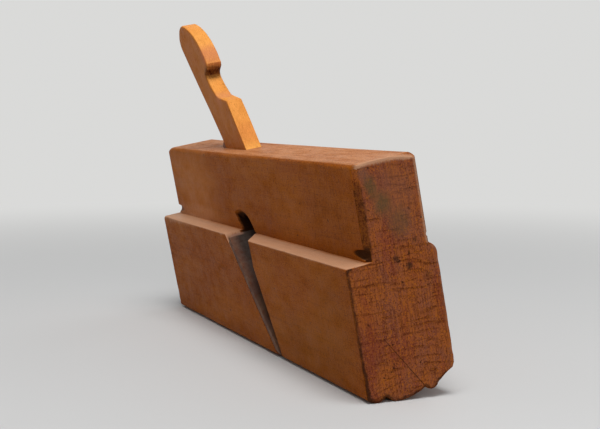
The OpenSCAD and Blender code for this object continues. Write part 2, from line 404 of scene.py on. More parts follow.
def skinned(name: str, rings: Array, places: Array, to_upright: Callable[[Array], Array],
            placing: Placing, pitch: float, relief: float) -> bpy.types.Object:
    """Makes a solid from a run of closed flat rings, with filled end faces.

    Args:
        name: The object's name.
        rings: An array (rings, points, 2) of (a, b).
        places: The place h at which each ring stands.
        to_upright: Turns points (a, b, h) into upright points.
        placing: How the upright plane stands in the frame.
        pitch: Spacing of the inner points of the end faces.
        relief: Greatest depth of the end faces' unevenness.

    Returns:
        The solid.
    """
    count, around = rings.shape[:2]
    points = [np.column_stack([rings.reshape(-1, 2), np.repeat(places, around)])]
    faces, start = band_faces(count, around).tolist(), count * around
    for number, inward in ((0, 1), (-1, -1)):
        flat, triangles = end_face(rings[number], pitch)
        inner = np.clip(outline_distance(flat, rings[number]) / (1.5 * pitch), 0, 1)
        rough = 0.5 + 0.5 * wobble(flat[:, 0] + 3 * flat[:, 1], 2.3, 7) * wobble(flat[:, 1], 3.7, 8)
        side = inward * math.copysign(1, places[-1] - places[0])
        points.append(np.column_stack([flat, places[number] + side * relief * inner * rough]))
        faces += [[v + start for v in f] for f in triangles]
        start += len(flat)
    return mesh_object(name, to_upright(np.vstack(points)), faces, placing)


def bars(name: str, ends: Sequence[Array], placing: Placing) -> bpy.types.Object:
    """Makes a cutter of straight bars.

    Args:
        name: The cutter's name.
        ends: For each bar the upright outlines of its two ends, an array (2, points, 3).
        placing: How the upright plane stands in the frame.

    Returns:
        The cutter.
    """
    faces, start = [], 0
    for pair in ends:
        n = pair.shape[1]
        caps = [np.arange(n), np.arange(n, 2 * n)]
        faces += (band_faces(2, n) + start).tolist() + [(cap + start).tolist() for cap in caps]
        start += 2 * n
    return mesh_object(name, np.vstack([pair.reshape(-1, 3) for pair in ends]), faces, placing)


def prism(name: str, outline: Array, y0: float, y1: float, placing: Placing) -> bpy.types.Object:
    """Makes a cutter from an outline of the lengthwise plane, drawn from y0 to y1."""
    low = np.column_stack([outline[:, 0], np.full(len(outline), y0), outline[:, 1]])
    return bars(name, [np.stack([low, low + [0, y1 - y0, 0]])], placing)


def cut(obj: bpy.types.Object, cutters: Sequence[bpy.types.Object]) -> None:
    """Takes each cutter's shape out of an object for good, and deletes the cutters.

    Args:
        obj: The object that is cut.
        cutters: Closed mesh objects.
    """
    for cutter in cutters:
        step = obj.modifiers.new(cutter.name, "BOOLEAN")
        step.solver, step.operation, step.object = "EXACT", "DIFFERENCE", cutter
    bpy.context.view_layer.update()
    graph = bpy.context.evaluated_depsgraph_get()
    result = bpy.data.meshes.new_from_object(obj.evaluated_get(graph))
    obj.modifiers.clear()
    old, obj.data = obj.data, result
    result.name = obj.name
    for mesh in [old] + [cutter.data for cutter in cutters]:
        bpy.data.meshes.remove(mesh)


def smooth(obj: bpy.types.Object, sharpest: float = 34) -> None:
    """Shades a mesh smooth, but for edges that turn more than an angle in degrees."""
    obj.data.shade_smooth()
    obj.data.set_sharp_from_angle(angle=math.radians(sharpest))


def add_attribute(obj: bpy.types.Object, name: str, values: Array) -> None:
    """Stores one number per point of a mesh for its material to read."""
    layer = obj.data.attributes.new(name, "FLOAT", "POINT")
    layer.data.foreach_set("value", np.ascontiguousarray(values, np.float32))


# Finishes

@dataclass(frozen=True)
class Pattern:
    """Noise that is stretched its own way.

    Attributes:
        per_mm: Cells per millimetre along x, y and z.
        detail, rough: How much finer noise is added, and how strongly.
        shift: Where it starts.
    """

    per_mm: Numbers
    detail: float = 2.0
    rough: float = 0.5
    shift: Numbers = (0, 0, 0)


@dataclass(frozen=True)
class Spot:
    """A stain, or a patch of painted light or shade: its centre and its half-sizes in millimetres,
    its strength and its colour.
    """

    centre: Numbers
    reach: Numbers
    strength: float
    colour: Colour = srgb(44, 30, 22)


class Graph:
    """A material's node tree, built by short calls that each return an output socket."""

    def __init__(self, name: str) -> None:
        """Starts an empty material with a principled shader.

        Args:
            name: The material's name.
        """
        self.material = bpy.data.materials.new(name)
        self.material.use_nodes = True
        self.tree = self.material.node_tree
        self.tree.nodes.clear()
        self.shader = self.node("ShaderNodeBsdfPrincipled")
        self.output = self.node("ShaderNodeOutputMaterial", {"Surface": self.shader.outputs[0]})
        self.object = self.node("ShaderNodeTexCoord").outputs["Object"]

    def node(self, kind: str, inputs: Inputs | None = None, **settings: object) -> bpy.types.Node:
        """Adds a node.

        Args:
            kind: The node's type.
            inputs: Values or sockets by input name or number.
            settings: The node's own properties.

        Returns:
            The node.
        """
        made = self.tree.nodes.new(kind)
        for key, value in settings.items():
            setattr(made, key, value)
        for key, value in (inputs or {}).items():
            self.feed(made.inputs[key], value)
        return made

    def feed(self, socket: Socket, value: Value | Numbers) -> None:
        """Links a socket to an output, or sets its own value.

        Args:
            socket: The input that is fed.
            value: An output, a number, a vector or a colour.
        """
        if isinstance(value, Socket):
            self.tree.links.new(value, socket)
        elif socket.type == "RGBA":
            socket.default_value = (*value[:3], 1.0)
        else:
            socket.default_value = value

    def space(self, matrix: Matrix) -> Socket:
        """Object coordinates moved by a matrix of turn, even scale and shift.

        Args:
            matrix: The move.

        Returns:
            The moved coordinates.
        """
        place, turn, size = matrix.decompose()
        return self.node("ShaderNodeMapping", {
            "Vector": self.object, "Location": place, "Rotation": turn.to_euler("XYZ"),
            "Scale": size}).outputs[0]

    def stretch(self, vector: Socket, factors: Numbers, shift: Numbers = (0, 0, 0)) -> Socket:
        """A vector with each part multiplied, then shifted."""
        return self.node("ShaderNodeVectorMath", {0: vector, 1: factors, 2: shift},
                         operation="MULTIPLY_ADD").outputs[0]

    def add(self, a: Socket, b: Socket) -> Socket:
        """The sum of two vectors."""
        return self.node("ShaderNodeVectorMath", {0: a, 1: b}, operation="ADD").outputs[0]

    def parts(self, vector: Socket) -> tuple[Socket, ...]:
        """The x, y and z of a vector."""
        return tuple(self.node("ShaderNodeSeparateXYZ", {0: vector}).outputs)

    def noise(self, vector: Socket, scale: float = 1.0, detail: float = 2.0,
              rough: float = 0.5) -> bpy.types.Node:
        """Smooth noise about a half, as a number or as three such numbers in a colour."""
        return self.node("ShaderNodeTexNoise", {
            "Vector": vector, "Scale": scale, "Detail": detail, "Roughness": rough})

    def grain(self, vector: Socket, scale: float, detail: float, rough: float = 0.5) -> Socket:
        """One number of even noise."""
        return self.noise(vector, scale, detail, rough).outputs["Fac"]

    def pattern(self, vector: Socket, pattern: Pattern) -> Socket:
        """One number of stretched noise."""
        at = self.stretch(vector, pattern.per_mm, pattern.shift)
        return self.grain(at, 1.0, pattern.detail, pattern.rough)

    def shake(self, vector: Socket, scale: float, detail: float, rough: float,
              reach: Numbers) -> Socket:
        """A vector moved about by noise.

        Args:
            vector: The vector.
            scale, detail, rough: The noise's own numbers.
            reach: How wide the noise moves it along x, y and z.

        Returns:
            The moved vector.
        """
        noise = self.noise(vector, scale, detail, rough).outputs["Color"]
        return self.add(vector, self.stretch(noise, reach, [-r / 2 for r in reach]))

    def maths(self, operation: str, a: Value, b: Value = 0.0) -> Socket:
        """One step of arithmetic."""
        return self.node("ShaderNodeMath", {0: a, 1: b}, operation=operation).outputs[0]

    def times(self, *values: Value) -> Socket:
        """The product of values."""
        return functools.reduce(functools.partial(self.maths, "MULTIPLY"), values)

    def plus(self, a: Value, b: Value) -> Socket:
        """The sum of two values."""
        return self.maths("ADD", a, b)

    def minus(self, a: Value, b: Value) -> Socket:
        """One value less another."""
        return self.maths("SUBTRACT", a, b)

    def most(self, a: Value, b: Value) -> Socket:
        """The greater of two values."""
        return self.maths("MAXIMUM", a, b)

    def size(self, a: Value) -> Socket:
        """A value without its sign."""
        return self.maths("ABSOLUTE", a)

    def ease(self, value: Value, low: float, high: float, to_low: float = 0.0,
             to_high: float = 1.0) -> Socket:
        """Carries a range of values onto another with an eased step, held at the ends."""
        return self.node("ShaderNodeMapRange", {
            "Value": value, "From Min": low, "From Max": high, "To Min": to_low,
            "To Max": to_high}, interpolation_type="SMOOTHSTEP").outputs[0]

    def mix(self, factor: Value, a: Socket | Colour, b: Socket | Colour) -> Socket:
        """A blend of two colours.

        Args:
            factor: How much of the second is taken, 0 to 1.
            a, b: The colours.

        Returns:
            The blend.
        """
        made = self.node("ShaderNodeMix", data_type="RGBA")
        inputs = {socket.identifier: socket for socket in made.inputs}
        for name, value in (("Factor_Float", factor), ("A_Color", a), ("B_Color", b)):
            self.feed(inputs[name], value)
        return next(s for s in made.outputs if s.identifier == "Result_Color")

    def laid(self, colour: Socket | Colour,
             layers: Sequence[tuple[Value, Socket | Colour]]) -> Socket:
        """A colour with others laid over it in turn.

        Args:
            colour: The first colour.
            layers: Pairs of how much is taken, 0 to 1, and the colour that is laid.

        Returns:
            The last blend.
        """
        for factor, other in layers:
            colour = self.mix(factor, colour, other)
        return colour

    def facing(self, matrix: Matrix) -> tuple[Socket, ...]:
        """The x, y and z of the surface's own normal, turned as a matrix turns a point.

        Args:
            matrix: The matrix.

        Returns:
            The three parts.
        """
        turn = matrix.to_3x3().normalized().to_euler("XYZ")
        normal = self.node("ShaderNodeTexCoord").outputs["Normal"]
        return self.parts(self.node("ShaderNodeVectorRotate", {
            "Vector": normal, "Rotation": turn}, rotation_type="EULER_XYZ").outputs[0])

    def near(self, vector: Socket, spot: Spot, solid: float = 0.2) -> Socket:
        """One in the middle of a spot, fading to zero at its reach.

        Args:
            vector: Where it is read.
            spot: The spot.
            solid: The part of the reach that is solid.

        Returns:
            The spot's mask.
        """
        scaled = self.stretch(vector, [1 / r for r in spot.reach],
                              [-c / r for c, r in zip(spot.centre, spot.reach)])
        size = self.node("ShaderNodeVectorMath", {0: scaled}, operation="LENGTH")
        return self.ease(size.outputs["Value"], solid, 1.0, 1.0, 0.0)

    def surface(self, colour: Socket, roughness: Socket, heights: Sequence[tuple[Socket, float]],
                soften: float) -> None:
        """Feeds the shader.

        Args:
            colour: The base colour.
            roughness: The roughness.
            heights: Pairs of a height and its depth in metres.
            soften: Radius over which sharp edges catch the light, in metres.
        """
        normal = self.node("ShaderNodeBevel", {"Radius": soften}, samples=6).outputs[0]
        for height, depth in heights:
            normal = self.node("ShaderNodeBump", {
                "Strength": 1.0, "Distance": depth, "Height": height, "Normal": normal}).outputs[0]
        self.feed(self.shader.inputs["Base Color"], colour)
        self.feed(self.shader.inputs["Roughness"], roughness)
        self.feed(self.shader.inputs["Normal"], normal)


@dataclass(frozen=True)
class Scribe:
    """A straight line scribed on the toe.

    Attributes:
        foot: Where it starts, in upright millimetres.
        turn: How far it leans from the upright, in radians.
        length: Its length.
        width: Its width.
        depth: How deep under the toe its colour reaches.
    """

    foot: Numbers
    turn: float
    length: float
    width: float
    depth: float = 0.8

    def mask(self, g: Graph, upright: Socket) -> Socket:
        """One on the line, where the distance across it is under half its width, else zero.

        Args:
            g: The material's graph.
            upright: The upright coordinates in millimetres.

        Returns:
            The line's mask.
        """
        x, y, z = g.parts(g.stretch(upright, (1, 1, 1), [-c for c in self.foot]))
        c, d = math.cos(self.turn), math.sin(self.turn)
        along = g.plus(g.times(y, -d), g.times(z, c))
        across = g.plus(g.times(y, c), g.times(z, d))
        return g.times(g.ease(g.size(across), self.width / 4, self.width / 1.6, 1, 0),
                       g.ease(along, self.length, self.length * 0.8),
                       g.ease(x, -1.5 * self.depth, -self.depth))


@dataclass(frozen=True)
class PaintedRecessShade:
    """Where the openings and the corner cuts of the stock lie, and how dark the shade painted in
    them is.

    Attributes:
        length: Length of the stock.
        grip: Where the grip's two faces lie across the stock.
        ledge: Height of the ledge.
        top: Height of the stock.
        throat: Range of the throat along the stock.
        reach: How far across the stock the throat reaches.
        heel_part: How dark the shade painted in the heel's corner cuts is, next to the toe's.
    """

    length: float
    grip: tuple[float, float]
    ledge: float
    top: float
    throat: tuple[float, float]
    reach: float = 33.5
    heel_part: float = 0.35

    def mask(self, g: Graph, upright: Socket) -> Socket:
        """Painted shade: the darkness of a point by how deep it lies under the nearest outer face.

        On the grip the depth is that under its two faces, and near an end also that under the
        end, where even a shallow cut is dark. In the lower part it is the distance to the
        escapement side, within the throat. Each step is soft, between two places given in mm.

        Args:
            g: The material's graph.
            upright: The upright coordinates in millimetres.

        Returns:
            The painted shade, 0 to 1.
        """
        x, y, z = g.parts(upright)
        half_x, half_y = self.length / 2, (self.grip[1] - self.grip[0]) / 2
        from_end = g.minus(half_x, g.size(g.minus(x, half_x)))
        from_face = g.minus(half_y, g.size(g.minus(y, self.grip[0] + half_y)))
        near_end = g.ease(from_end, 20, 16)
        corner_cut = g.times(g.ease(g.maths("MINIMUM", from_end, from_face), 0.05, 0.45),
                             g.ease(z, self.ledge + 6.5, self.ledge + 5, 0.42, 0.88),
                             g.ease(z, self.ledge, self.ledge + 0.3))
        at_end = g.times(near_end, g.ease(x, half_x, half_x + 1, self.heel_part, 1), corner_cut)
        opening = g.times(g.ease(from_face, 0.1, 1.6, 0, 0.95),
                          g.ease(z, self.ledge - 0.4, self.ledge - 0.2))
        on_grip = g.times(g.ease(z, self.top - 6, self.top - 8),
                          g.plus(at_end, g.times(g.minus(1, near_end), opening)))
        under_grip = g.times(g.ease(z, self.ledge - 0.13, self.ledge - 0.22),
                             g.ease(y, self.grip[0] - 1.5, self.grip[0]))
        in_throat = g.times(g.ease(y, 0.2, 1.2, 0, 0.9), g.ease(y, self.reach, self.reach - 1),
                            g.ease(x, self.throat[0], self.throat[0] + 1),
                            g.ease(x, self.throat[1], self.throat[1] - 1),
                            g.most(g.ease(z, self.ledge - 0.4, self.ledge - 3), under_grip),
                            g.ease(z, 1, 5))
        return g.most(on_grip, in_throat)


@dataclass(frozen=True)
class OldBeech:
    """Old oiled beech.

    Attributes:
        name: The material's name.
        light, middle, dark: Colours of the long grain.
        end, end_warm, end_red: Colours of the end grain.
        grime_and_shade: Colour of the nicks, the scribed line and the dark arrises, and of the
            shade painted in the openings and corner cuts.
        bare_and_lit: Colour of the arrises that are rubbed bare, and of the ledge, which is painted
            paler partly as painted light.
        ring_pitch: Mean distance between growth rings.
        pith: Where the middle of the rings lies, along the grain's y and z.
        wear: How far corners and arrises have changed, 0 to 1.
        roughness: The roughness of the polished wood.
        sheen: How strongly its surface mirrors.
        dust_and_sheen, dust_and_sheen_level: The pale tint of the sides that lie upwards, real dust
            together with a painted sheen, and its strength.
        painted_flank_shade: How much darker the sides across the width are painted, as shade, 0 to
            1.
        speckle: How strongly the pores and specks show, 0 to 1.
        fibre to streaky: The wood's patterns.
    """

    name: str
    light: Colour
    middle: Colour
    dark: Colour
    end: Colour
    end_warm: Colour
    end_red: Colour
    grime_and_shade: Colour
    bare_and_lit: Colour
    ring_pitch: float = 3.1
    pith: tuple[float, float] = (6.0, -130.0)
    wear: float = 1.0
    roughness: float = 0.5
    sheen: float = 0.035
    dust_and_sheen: Colour = srgb(216, 158, 116)
    dust_and_sheen_level: float = 0.48
    painted_flank_shade: float = 0.0
    speckle: float = 1.0
    fibre: Pattern = Pattern((0.035, 2.6, 2.6), 3, 0.6)
    rays: Pattern = Pattern((0.8, 3.0, 0.42), 2, 0.6)
    blotch: Pattern = Pattern((0.09, 0.16, 0.16), 3, 0.6, (7, 3, 1))
    cloud: Pattern = Pattern((0.022, 0.045, 0.045), 3, 0.55)
    patch: Pattern = Pattern((0.1, 0.09, 0.06), 4, 0.7, (3, 8, 2))
    red: Pattern = Pattern((0.1, 0.13, 0.04), 3, 0.6, (1, 2, 9))
    streak: Pattern = Pattern((0.5, 2.3, 0.13), 2, 0.55)
    streaky: Pattern = Pattern((0.06, 0.5, 0.5), 4, 0.65, (2, 5, 4))

    def late_wood(self, g: Graph, p: Socket) -> Socket:
        """The dark line at the end of each year's growth.

        The rings are shells about a pith far below: the distance from it over the pitch, plus
        noise, is cut to its fraction, which darkens towards one and then falls back.

        Args:
            g: The material's graph.
            p: The grain's coordinates in millimetres.

        Returns:
            How dark the line is, 0 to 1.
        """
        q = g.shake(p, 0.035, 2, 0.5, (9, 5, 5))
        _, y, z = g.parts(q)
        from_pith = g.maths("SQRT", g.plus(g.maths("POWER", g.minus(y, self.pith[0]), 2),
                                           g.maths("POWER", g.minus(z, self.pith[1]), 2)))
        uneven = g.pattern(q, Pattern((0.002, 0.02, 0.33)))
        part = g.maths("FRACT", g.plus(g.maths("DIVIDE", from_pith, self.ring_pitch),
                                       g.times(uneven, 2.4)))
        broken = g.pattern(q, Pattern((0.03, 0.12, 0.3)))
        return g.times(g.ease(part, 0.55, 0.97), g.ease(part, 0.97, 1.0, 1, 0),
                       g.ease(broken, 0.35, 0.65))

    def long_grain(self, g: Graph, p: Socket, late: Socket, fibre: Socket,
                   blotch: Socket) -> Socket:
        """Colour along the fibres: clouds of two colours, with darker blotches, fibres and rings.

        Args:
            g: The material's graph.
            p: The grain's coordinates.
            late, fibre, blotch: The rings, the fibres and the blotches.

        Returns:
            The colour.
        """
        cloud = g.pattern(p, self.cloud)
        return g.laid(self.middle, ((g.ease(cloud, 0.32, 0.68, 0.0, 0.7), self.light),
                                    (g.ease(blotch, 0.45, 0.75, 0.0, 0.16), self.dark),
                                    (g.ease(fibre, 0.3, 0.7, 0.22, 0.0), self.dark),
                                    (g.times(late, 0.2), self.dark)))

    def end_grain(self, g: Graph, p: Socket, late: Socket) -> Socket:
        """Colour across the fibres: patches of three tones, upright streaks and ring lines.

        Args:
            g: The material's graph.
            p: The grain's coordinates.
            late: The rings.

        Returns:
            The colour.
        """
        patch, red, streak = (g.pattern(p, kind) for kind in (self.patch, self.red, self.streak))
        return g.laid(self.end, ((g.ease(patch, 0.36, 0.62), self.end_warm),
                                 (g.ease(red, 0.45, 0.65, 0.0, 0.7), self.end_red),
                                 (g.ease(streak, 0.5, 0.66, 0.0, 0.48), self.dark),
                                 (g.ease(streak, 0.46, 0.3, 0.0, 0.4), self.light),
                                 (g.times(late, 0.75), self.dark)))

    def spotted(self, g: Graph, p: Socket, rays: Socket, colour: Socket,
                spots: Sequence[Spot]) -> Socket:
        """Colour with its stains and patches of painted light or shade, whose rims are ragged and
        which the rays break up.

        Args:
            g: The material's graph.
            p: The grain's coordinates.
            rays: The rays.
            colour: The colour without them.
            spots: The stains and the patches of painted light or shade.

        Returns:
            The colour.
        """
        shaken = g.shake(p, 0.35, 4, 0.7, (4, 4, 4))
        return g.laid(colour, [
            (g.times(g.near(shaken, s), g.ease(rays, 0.35, 0.6, 0.7 * s.strength, s.strength)),
             s.colour) for s in spots])

    def material(self, to_grain: Matrix, upright: Matrix, spots: Sequence[Spot],
                 painted_recess_shade: PaintedRecessShade | None = None, scribe: Scribe | None = None,
                 ) -> bpy.types.Material:
        """Builds the material.

        Args:
            to_grain: The move from object coordinates to the grain's millimetres, with the
                fibres along x and the rays along z.
            upright: The move from object coordinates to the upright plane's millimetres.
            spots: Stains and patches of painted light or shade, placed in the grain's millimetres.
            painted_recess_shade: The openings and cuts, which are darkened with painted shade.
            scribe: A line scribed on the toe.

        Returns:
            The material.
        """
        g = Graph(self.name)
        p, u = g.space(to_grain), g.space(upright)
        late = self.late_wood(g, p)
        fibre, rays, blotch = (g.pattern(p, kind) for kind in (self.fibre, self.rays, self.blotch))
        speck, ragged = g.grain(p, 1.9, 2, 0.6), g.grain(u, 0.55, 4, 0.65)
        along = g.facing(to_grain)[0]
        _, across, lies_up = g.facing(upright)

        colour = g.mix(g.ease(g.size(along), 0.55, 0.85),
                       self.long_grain(g, p, late, fibre, blotch), self.end_grain(g, p, late))
        nick = g.ease(g.grain(u, 0.42, 1, 0.4), 0.72, 0.78)
        # Sides that lie upwards are paled, as real dust and as a painted sheen.
        dust_and_sheen_mask = g.times(g.ease(lies_up, 0.75, 0.97),
                        g.ease(g.pattern(p, self.streaky), 0.35, 0.6, 0.45, 1.0),
                        g.ease(speck, 0.38, 0.62, 1.3, 0.7), self.dust_and_sheen_level)
        colour = g.laid(colour, (
            (g.ease(rays, 0.56, 0.68, 0, 0.36), self.dark),
            (g.ease(rays, 0.40, 0.30, 0, 0.36), self.light),
            (g.ease(speck, 0.55, 0.66, 0, 0.8 * self.speckle), self.dark),
            (g.ease(speck, 0.45, 0.34, 0, 0.75 * self.speckle), self.light),
            (g.times(nick, 0.7 * self.speckle), self.grime_and_shade),
            # The sides across the width are darkened as painted shade.
            (g.ease(g.size(across), 0.55, 0.9, 0, self.painted_flank_shade), self.dark), (dust_and_sheen_mask, self.dust_and_sheen)))
        colour = self.spotted(g, p, rays, colour, spots)

        edge, bare_and_lit = (g.node("ShaderNodeAttribute", attribute_name=name).outputs["Fac"]
                      for name in ("edge", "bare_and_lit"))
        # Rubbed arrises, and the ledge painted paler partly as painted light, take the bare colour.
        rubbed_and_lit = g.ease(g.plus(bare_and_lit, g.times(speck, 0.8)), 0.62, 1.15, 0, 0.75 * self.wear)
        darkening_and_shade = g.ease(g.plus(edge, g.times(ragged, 0.8)), 0.72, 1.35, 0, 0.85 * self.wear)
        # The openings and corner cuts take the grime colour as painted shade.
        if painted_recess_shade:
            darkening_and_shade = g.most(darkening_and_shade, painted_recess_shade.mask(g, u))
        if scribe:
            line = scribe.mask(g, u)
            darkening_and_shade, nick = g.most(darkening_and_shade, g.times(line, 0.6)), g.most(nick, line)
        colour = g.laid(colour, ((rubbed_and_lit, self.bare_and_lit), (darkening_and_shade, self.grime_and_shade)))

        roughness = g.ease(g.plus(blotch, g.times(darkening_and_shade, 0.5)), 0.3, 1.0,
                           self.roughness - 0.08, self.roughness + 0.25)
        heights = ((g.plus(fibre, g.times(late, -0.6)), 0.00006),
                   (g.plus(rays, g.times(ragged, 0.7)), 0.00008),
                   (g.grain(u, 0.12, 2), 0.0003), (g.times(nick, -1), 0.0002))
        g.surface(colour, roughness, heights, 0.0003)
        g.shader.inputs["Specular IOR Level"].default_value = self.sheen
        return g.material


@dataclass(frozen=True)
class Shade:
    """The part of the iron that lies in the dark inside the stock, on which shade is painted.

    Attributes:
        across: Where the grip's face lies across the stock.
        low, top: The range of heights that is dark.
    """

    across: float
    low: float
    top: float


@dataclass(frozen=True)
class OldSteel:
    """Forged steel under a brown patina, with rust, a brighter ground edge and painted shade where
    it lies inside the stock.

    Attributes:
        name: The material's name.
        patina, pale, rust, pit_and_shade: Its colours; the last is that of the pits and of the
            painted shade inside the stock.
        worn: Its colour on the shoulder and near the top.
        metal: How metallic it is, 0 to 1.
        roughness: Its roughness.
    """

    name: str
    patina: Colour
    pale: Colour
    rust: Colour
    metal: float
    roughness: float
    pit_and_shade: Colour = srgb(36, 24, 16)
    worn: Colour = srgb(150, 108, 86)

    def material(self, upright: Matrix, shade: Shade) -> bpy.types.Material:
        """Builds the material.

        Args:
            upright: The move from object coordinates to the upright plane's millimetres.
            shade: The part that lies in the dark.

        Returns:
            The material.
        """
        g = Graph(self.name)
        p = g.space(upright)
        _, y, z = g.parts(p)
        on_shoulder = g.times(g.ease(g.facing(upright)[2], 0.68, 0.74, 0, 0.8),
                              g.ease(y, shade.across - 0.5, shade.across - 3))
        # Painted shade where the iron lies deep inside the stock.
        dark = g.times(g.ease(y, 0.6, 0.6 * shade.across, 0, 0.9),
                       g.ease(z, 8, 0.9 * shade.low), g.ease(z, shade.top, shade.top - 1))
        cloud, pits, scale = (g.grain(p, *numbers) for numbers in (
            (0.09, 4, 0.6), (1.3, 3, 0.7), (0.35, 5, 0.65)))
        colour = g.laid(self.patina, (
            (g.ease(cloud, 0.35, 0.65), self.pale),
            (g.times(g.ease(scale, 0.5, 0.66), 0.7), self.rust),
            (g.ease(z, shade.top - 9, shade.top - 1, 0, 0.55), self.worn),
            (g.ease(pits, 0.6, 0.72, 0, 0.6), self.pit_and_shade), (dark, self.pit_and_shade),
            (on_shoulder, self.worn)))
        roughness = g.ease(g.plus(scale, g.times(pits, 0.4)), 0.4, 0.95,
                           self.roughness - 0.1, self.roughness + 0.25)
        g.surface(colour, roughness, ((pits, 0.00012), (scale, 0.00025)), 0.0002)
        g.shader.inputs["Metallic"].default_value = self.metal
        return g.material


class Finish(Enum):
    """The finishes of the plane."""

    STOCK = OldBeech(
        "stock_beech", light=srgb(174, 97, 19), middle=srgb(148, 73, 5), dark=srgb(80, 34, 5),
        end=srgb(134, 78, 57), end_warm=srgb(150, 83, 43), end_red=srgb(126, 60, 44),
        grime_and_shade=srgb(38, 22, 12), bare_and_lit=srgb(196, 150, 118))
    WEDGE = OldBeech(
        "wedge_beech_wood", light=srgb(250, 176, 92), middle=srgb(236, 152, 68),
        dark=srgb(150, 74, 6), end=srgb(222, 136, 70), end_warm=srgb(232, 148, 76),
        end_red=srgb(196, 104, 48), grime_and_shade=srgb(60, 26, 8), bare_and_lit=srgb(250, 196, 124),
        ring_pitch=2.4, wear=0.35, roughness=0.42, dust_and_sheen_level=0.0, painted_flank_shade=0.72, speckle=0.3)
    FORGED = OldSteel("forged_steel", patina=srgb(84, 48, 30), pale=srgb(106, 72, 50),
                      rust=srgb(98, 50, 26), metal=0.05, roughness=0.72)
    GROUND = OldSteel("ground_steel", patina=srgb(140, 132, 124), pale=srgb(176, 170, 162),
                      rust=srgb(110, 74, 50), metal=0.9, roughness=0.34)


# The plane

@dataclass(frozen=True)
class SoleShape:
    """The moulding on the sole, across from the escapement side to the blind side."""

    start: Numbers = (0.0, 0.0)
    swell_low: Numbers = (4.5, -2.4)
    quirk_1: Numbers = (8.0, -0.7)
    round_low: Numbers = (14.8, -4.3)
    quirk_2: Numbers = (25.2, -1.8)
    bead_low: Numbers = (28.0, -3.4)
    bead_end: Numbers = (30.9, -1.9)
    bevel_end: Numbers = (38.2, 2.6)
    bevel_hollow: float = 0.45
    side_foot: Numbers = (39.4, 4.4)

    def outline(self) -> Array:
        """Works out the sole's points.

        Returns:
            Three swells between their quirks, a hollow bevel and a corner, as one array.
        """
        swells = ((self.start, self.swell_low, self.quirk_1),
                  (self.quirk_1, self.round_low, self.quirk_2),
                  (self.quirk_2, self.bead_low, self.bead_end))
        runs = [[self.start]]
        for before, low, after in swells:
            runs += [swell(low, before)[::-1][1:], swell(low, after)[1:]]
        runs += [hollow(self.bead_end, self.bevel_end, self.bevel_hollow),
                 [self.bevel_end], [self.side_foot]]
        return np.vstack(runs)

    def standing(self) -> tuple[float, float]:
        """Works out how the plane stands on its first swell and its main round.

        Both circles touch a line whose slope follows from the difference of their radii over
        the distance of their centres.

        Returns:
            The lean that brings both to one level, and the height of the sole line then.
        """
        r1 = swell_radius(self.swell_low, self.start)
        r2 = swell_radius(self.round_low, self.quirk_1)
        c1 = np.add(self.swell_low, (0, r1))
        d = np.add(self.round_low, (0, r2)) - c1
        lean = math.asin((r2 - r1) / float(np.linalg.norm(d))) - math.atan2(d[1], d[0])
        return lean, r1 - c1[0] * math.sin(lean) - c1[1] * math.cos(lean)


@dataclass(frozen=True)
class StockShape:
    """Sizes of the stock and of what is cut in it, in millimetres and degrees."""

    length: float = 241.3
    height: float = 89.3
    width: float = 39.4
    ledge_h: float = 51.6
    ledge_d: float = 9.4
    grip_w: float = 27.2
    shoulder_h: float = 53.9
    shoulder_r: float = 4.8
    heel_r: float = 8.0
    toe_bevel: float = 0.8
    side_edge_r: float = 2.0
    blind_edge_r: float = 3.6
    arris_r: float = 0.55
    chamfer: float = 2.3
    blind_chamfer: float = 1.0
    gouge_h: float = 2.9
    gouge_r: float = 2.1
    gouge_len: float = 12.4
    blind_gouge_r: float = 0.9
    middle: float = 22.1
    bed_angle: float = 50.0
    bed_to_toe: float = 93.4
    mouth_open: float = 2.7
    wear_angle: float = 66.0
    wear_h: float = 48.0
    slot_len: float = 73.0
    slot_depth: float = 32.05
    slot_ease: float = 1.0
    eye_along: float = 60.3
    eye_back: float = 4.1
    eye_r: float = 31.8
    spring_angle: float = 31.8
    spring_len: float = 31.0
    scribe: float = 0.35
    throat: tuple[float, float] = (98.0, 161.0)

    @property
    def blind(self) -> float:
        """Where the grip's blind face lies across the stock."""
        return self.ledge_d + self.grip_w


@dataclass(frozen=True)
class IronShape:
    """Sizes of the iron."""

    thick: float = 3.4
    blade_y0: float = 0.25
    blade_y1: float = 31.75
    shoulder: float = 64.0
    outer_r: float = 2.6
    inner_r: float = 2.8
    tang_w: float = 7.8
    tang_out: float = 2.5
    tang_r: float = 1.6
    clearance: float = 14.0
    edge_back: float = 0.1
    rim_r: float = 0.14
    gap: float = 0.05


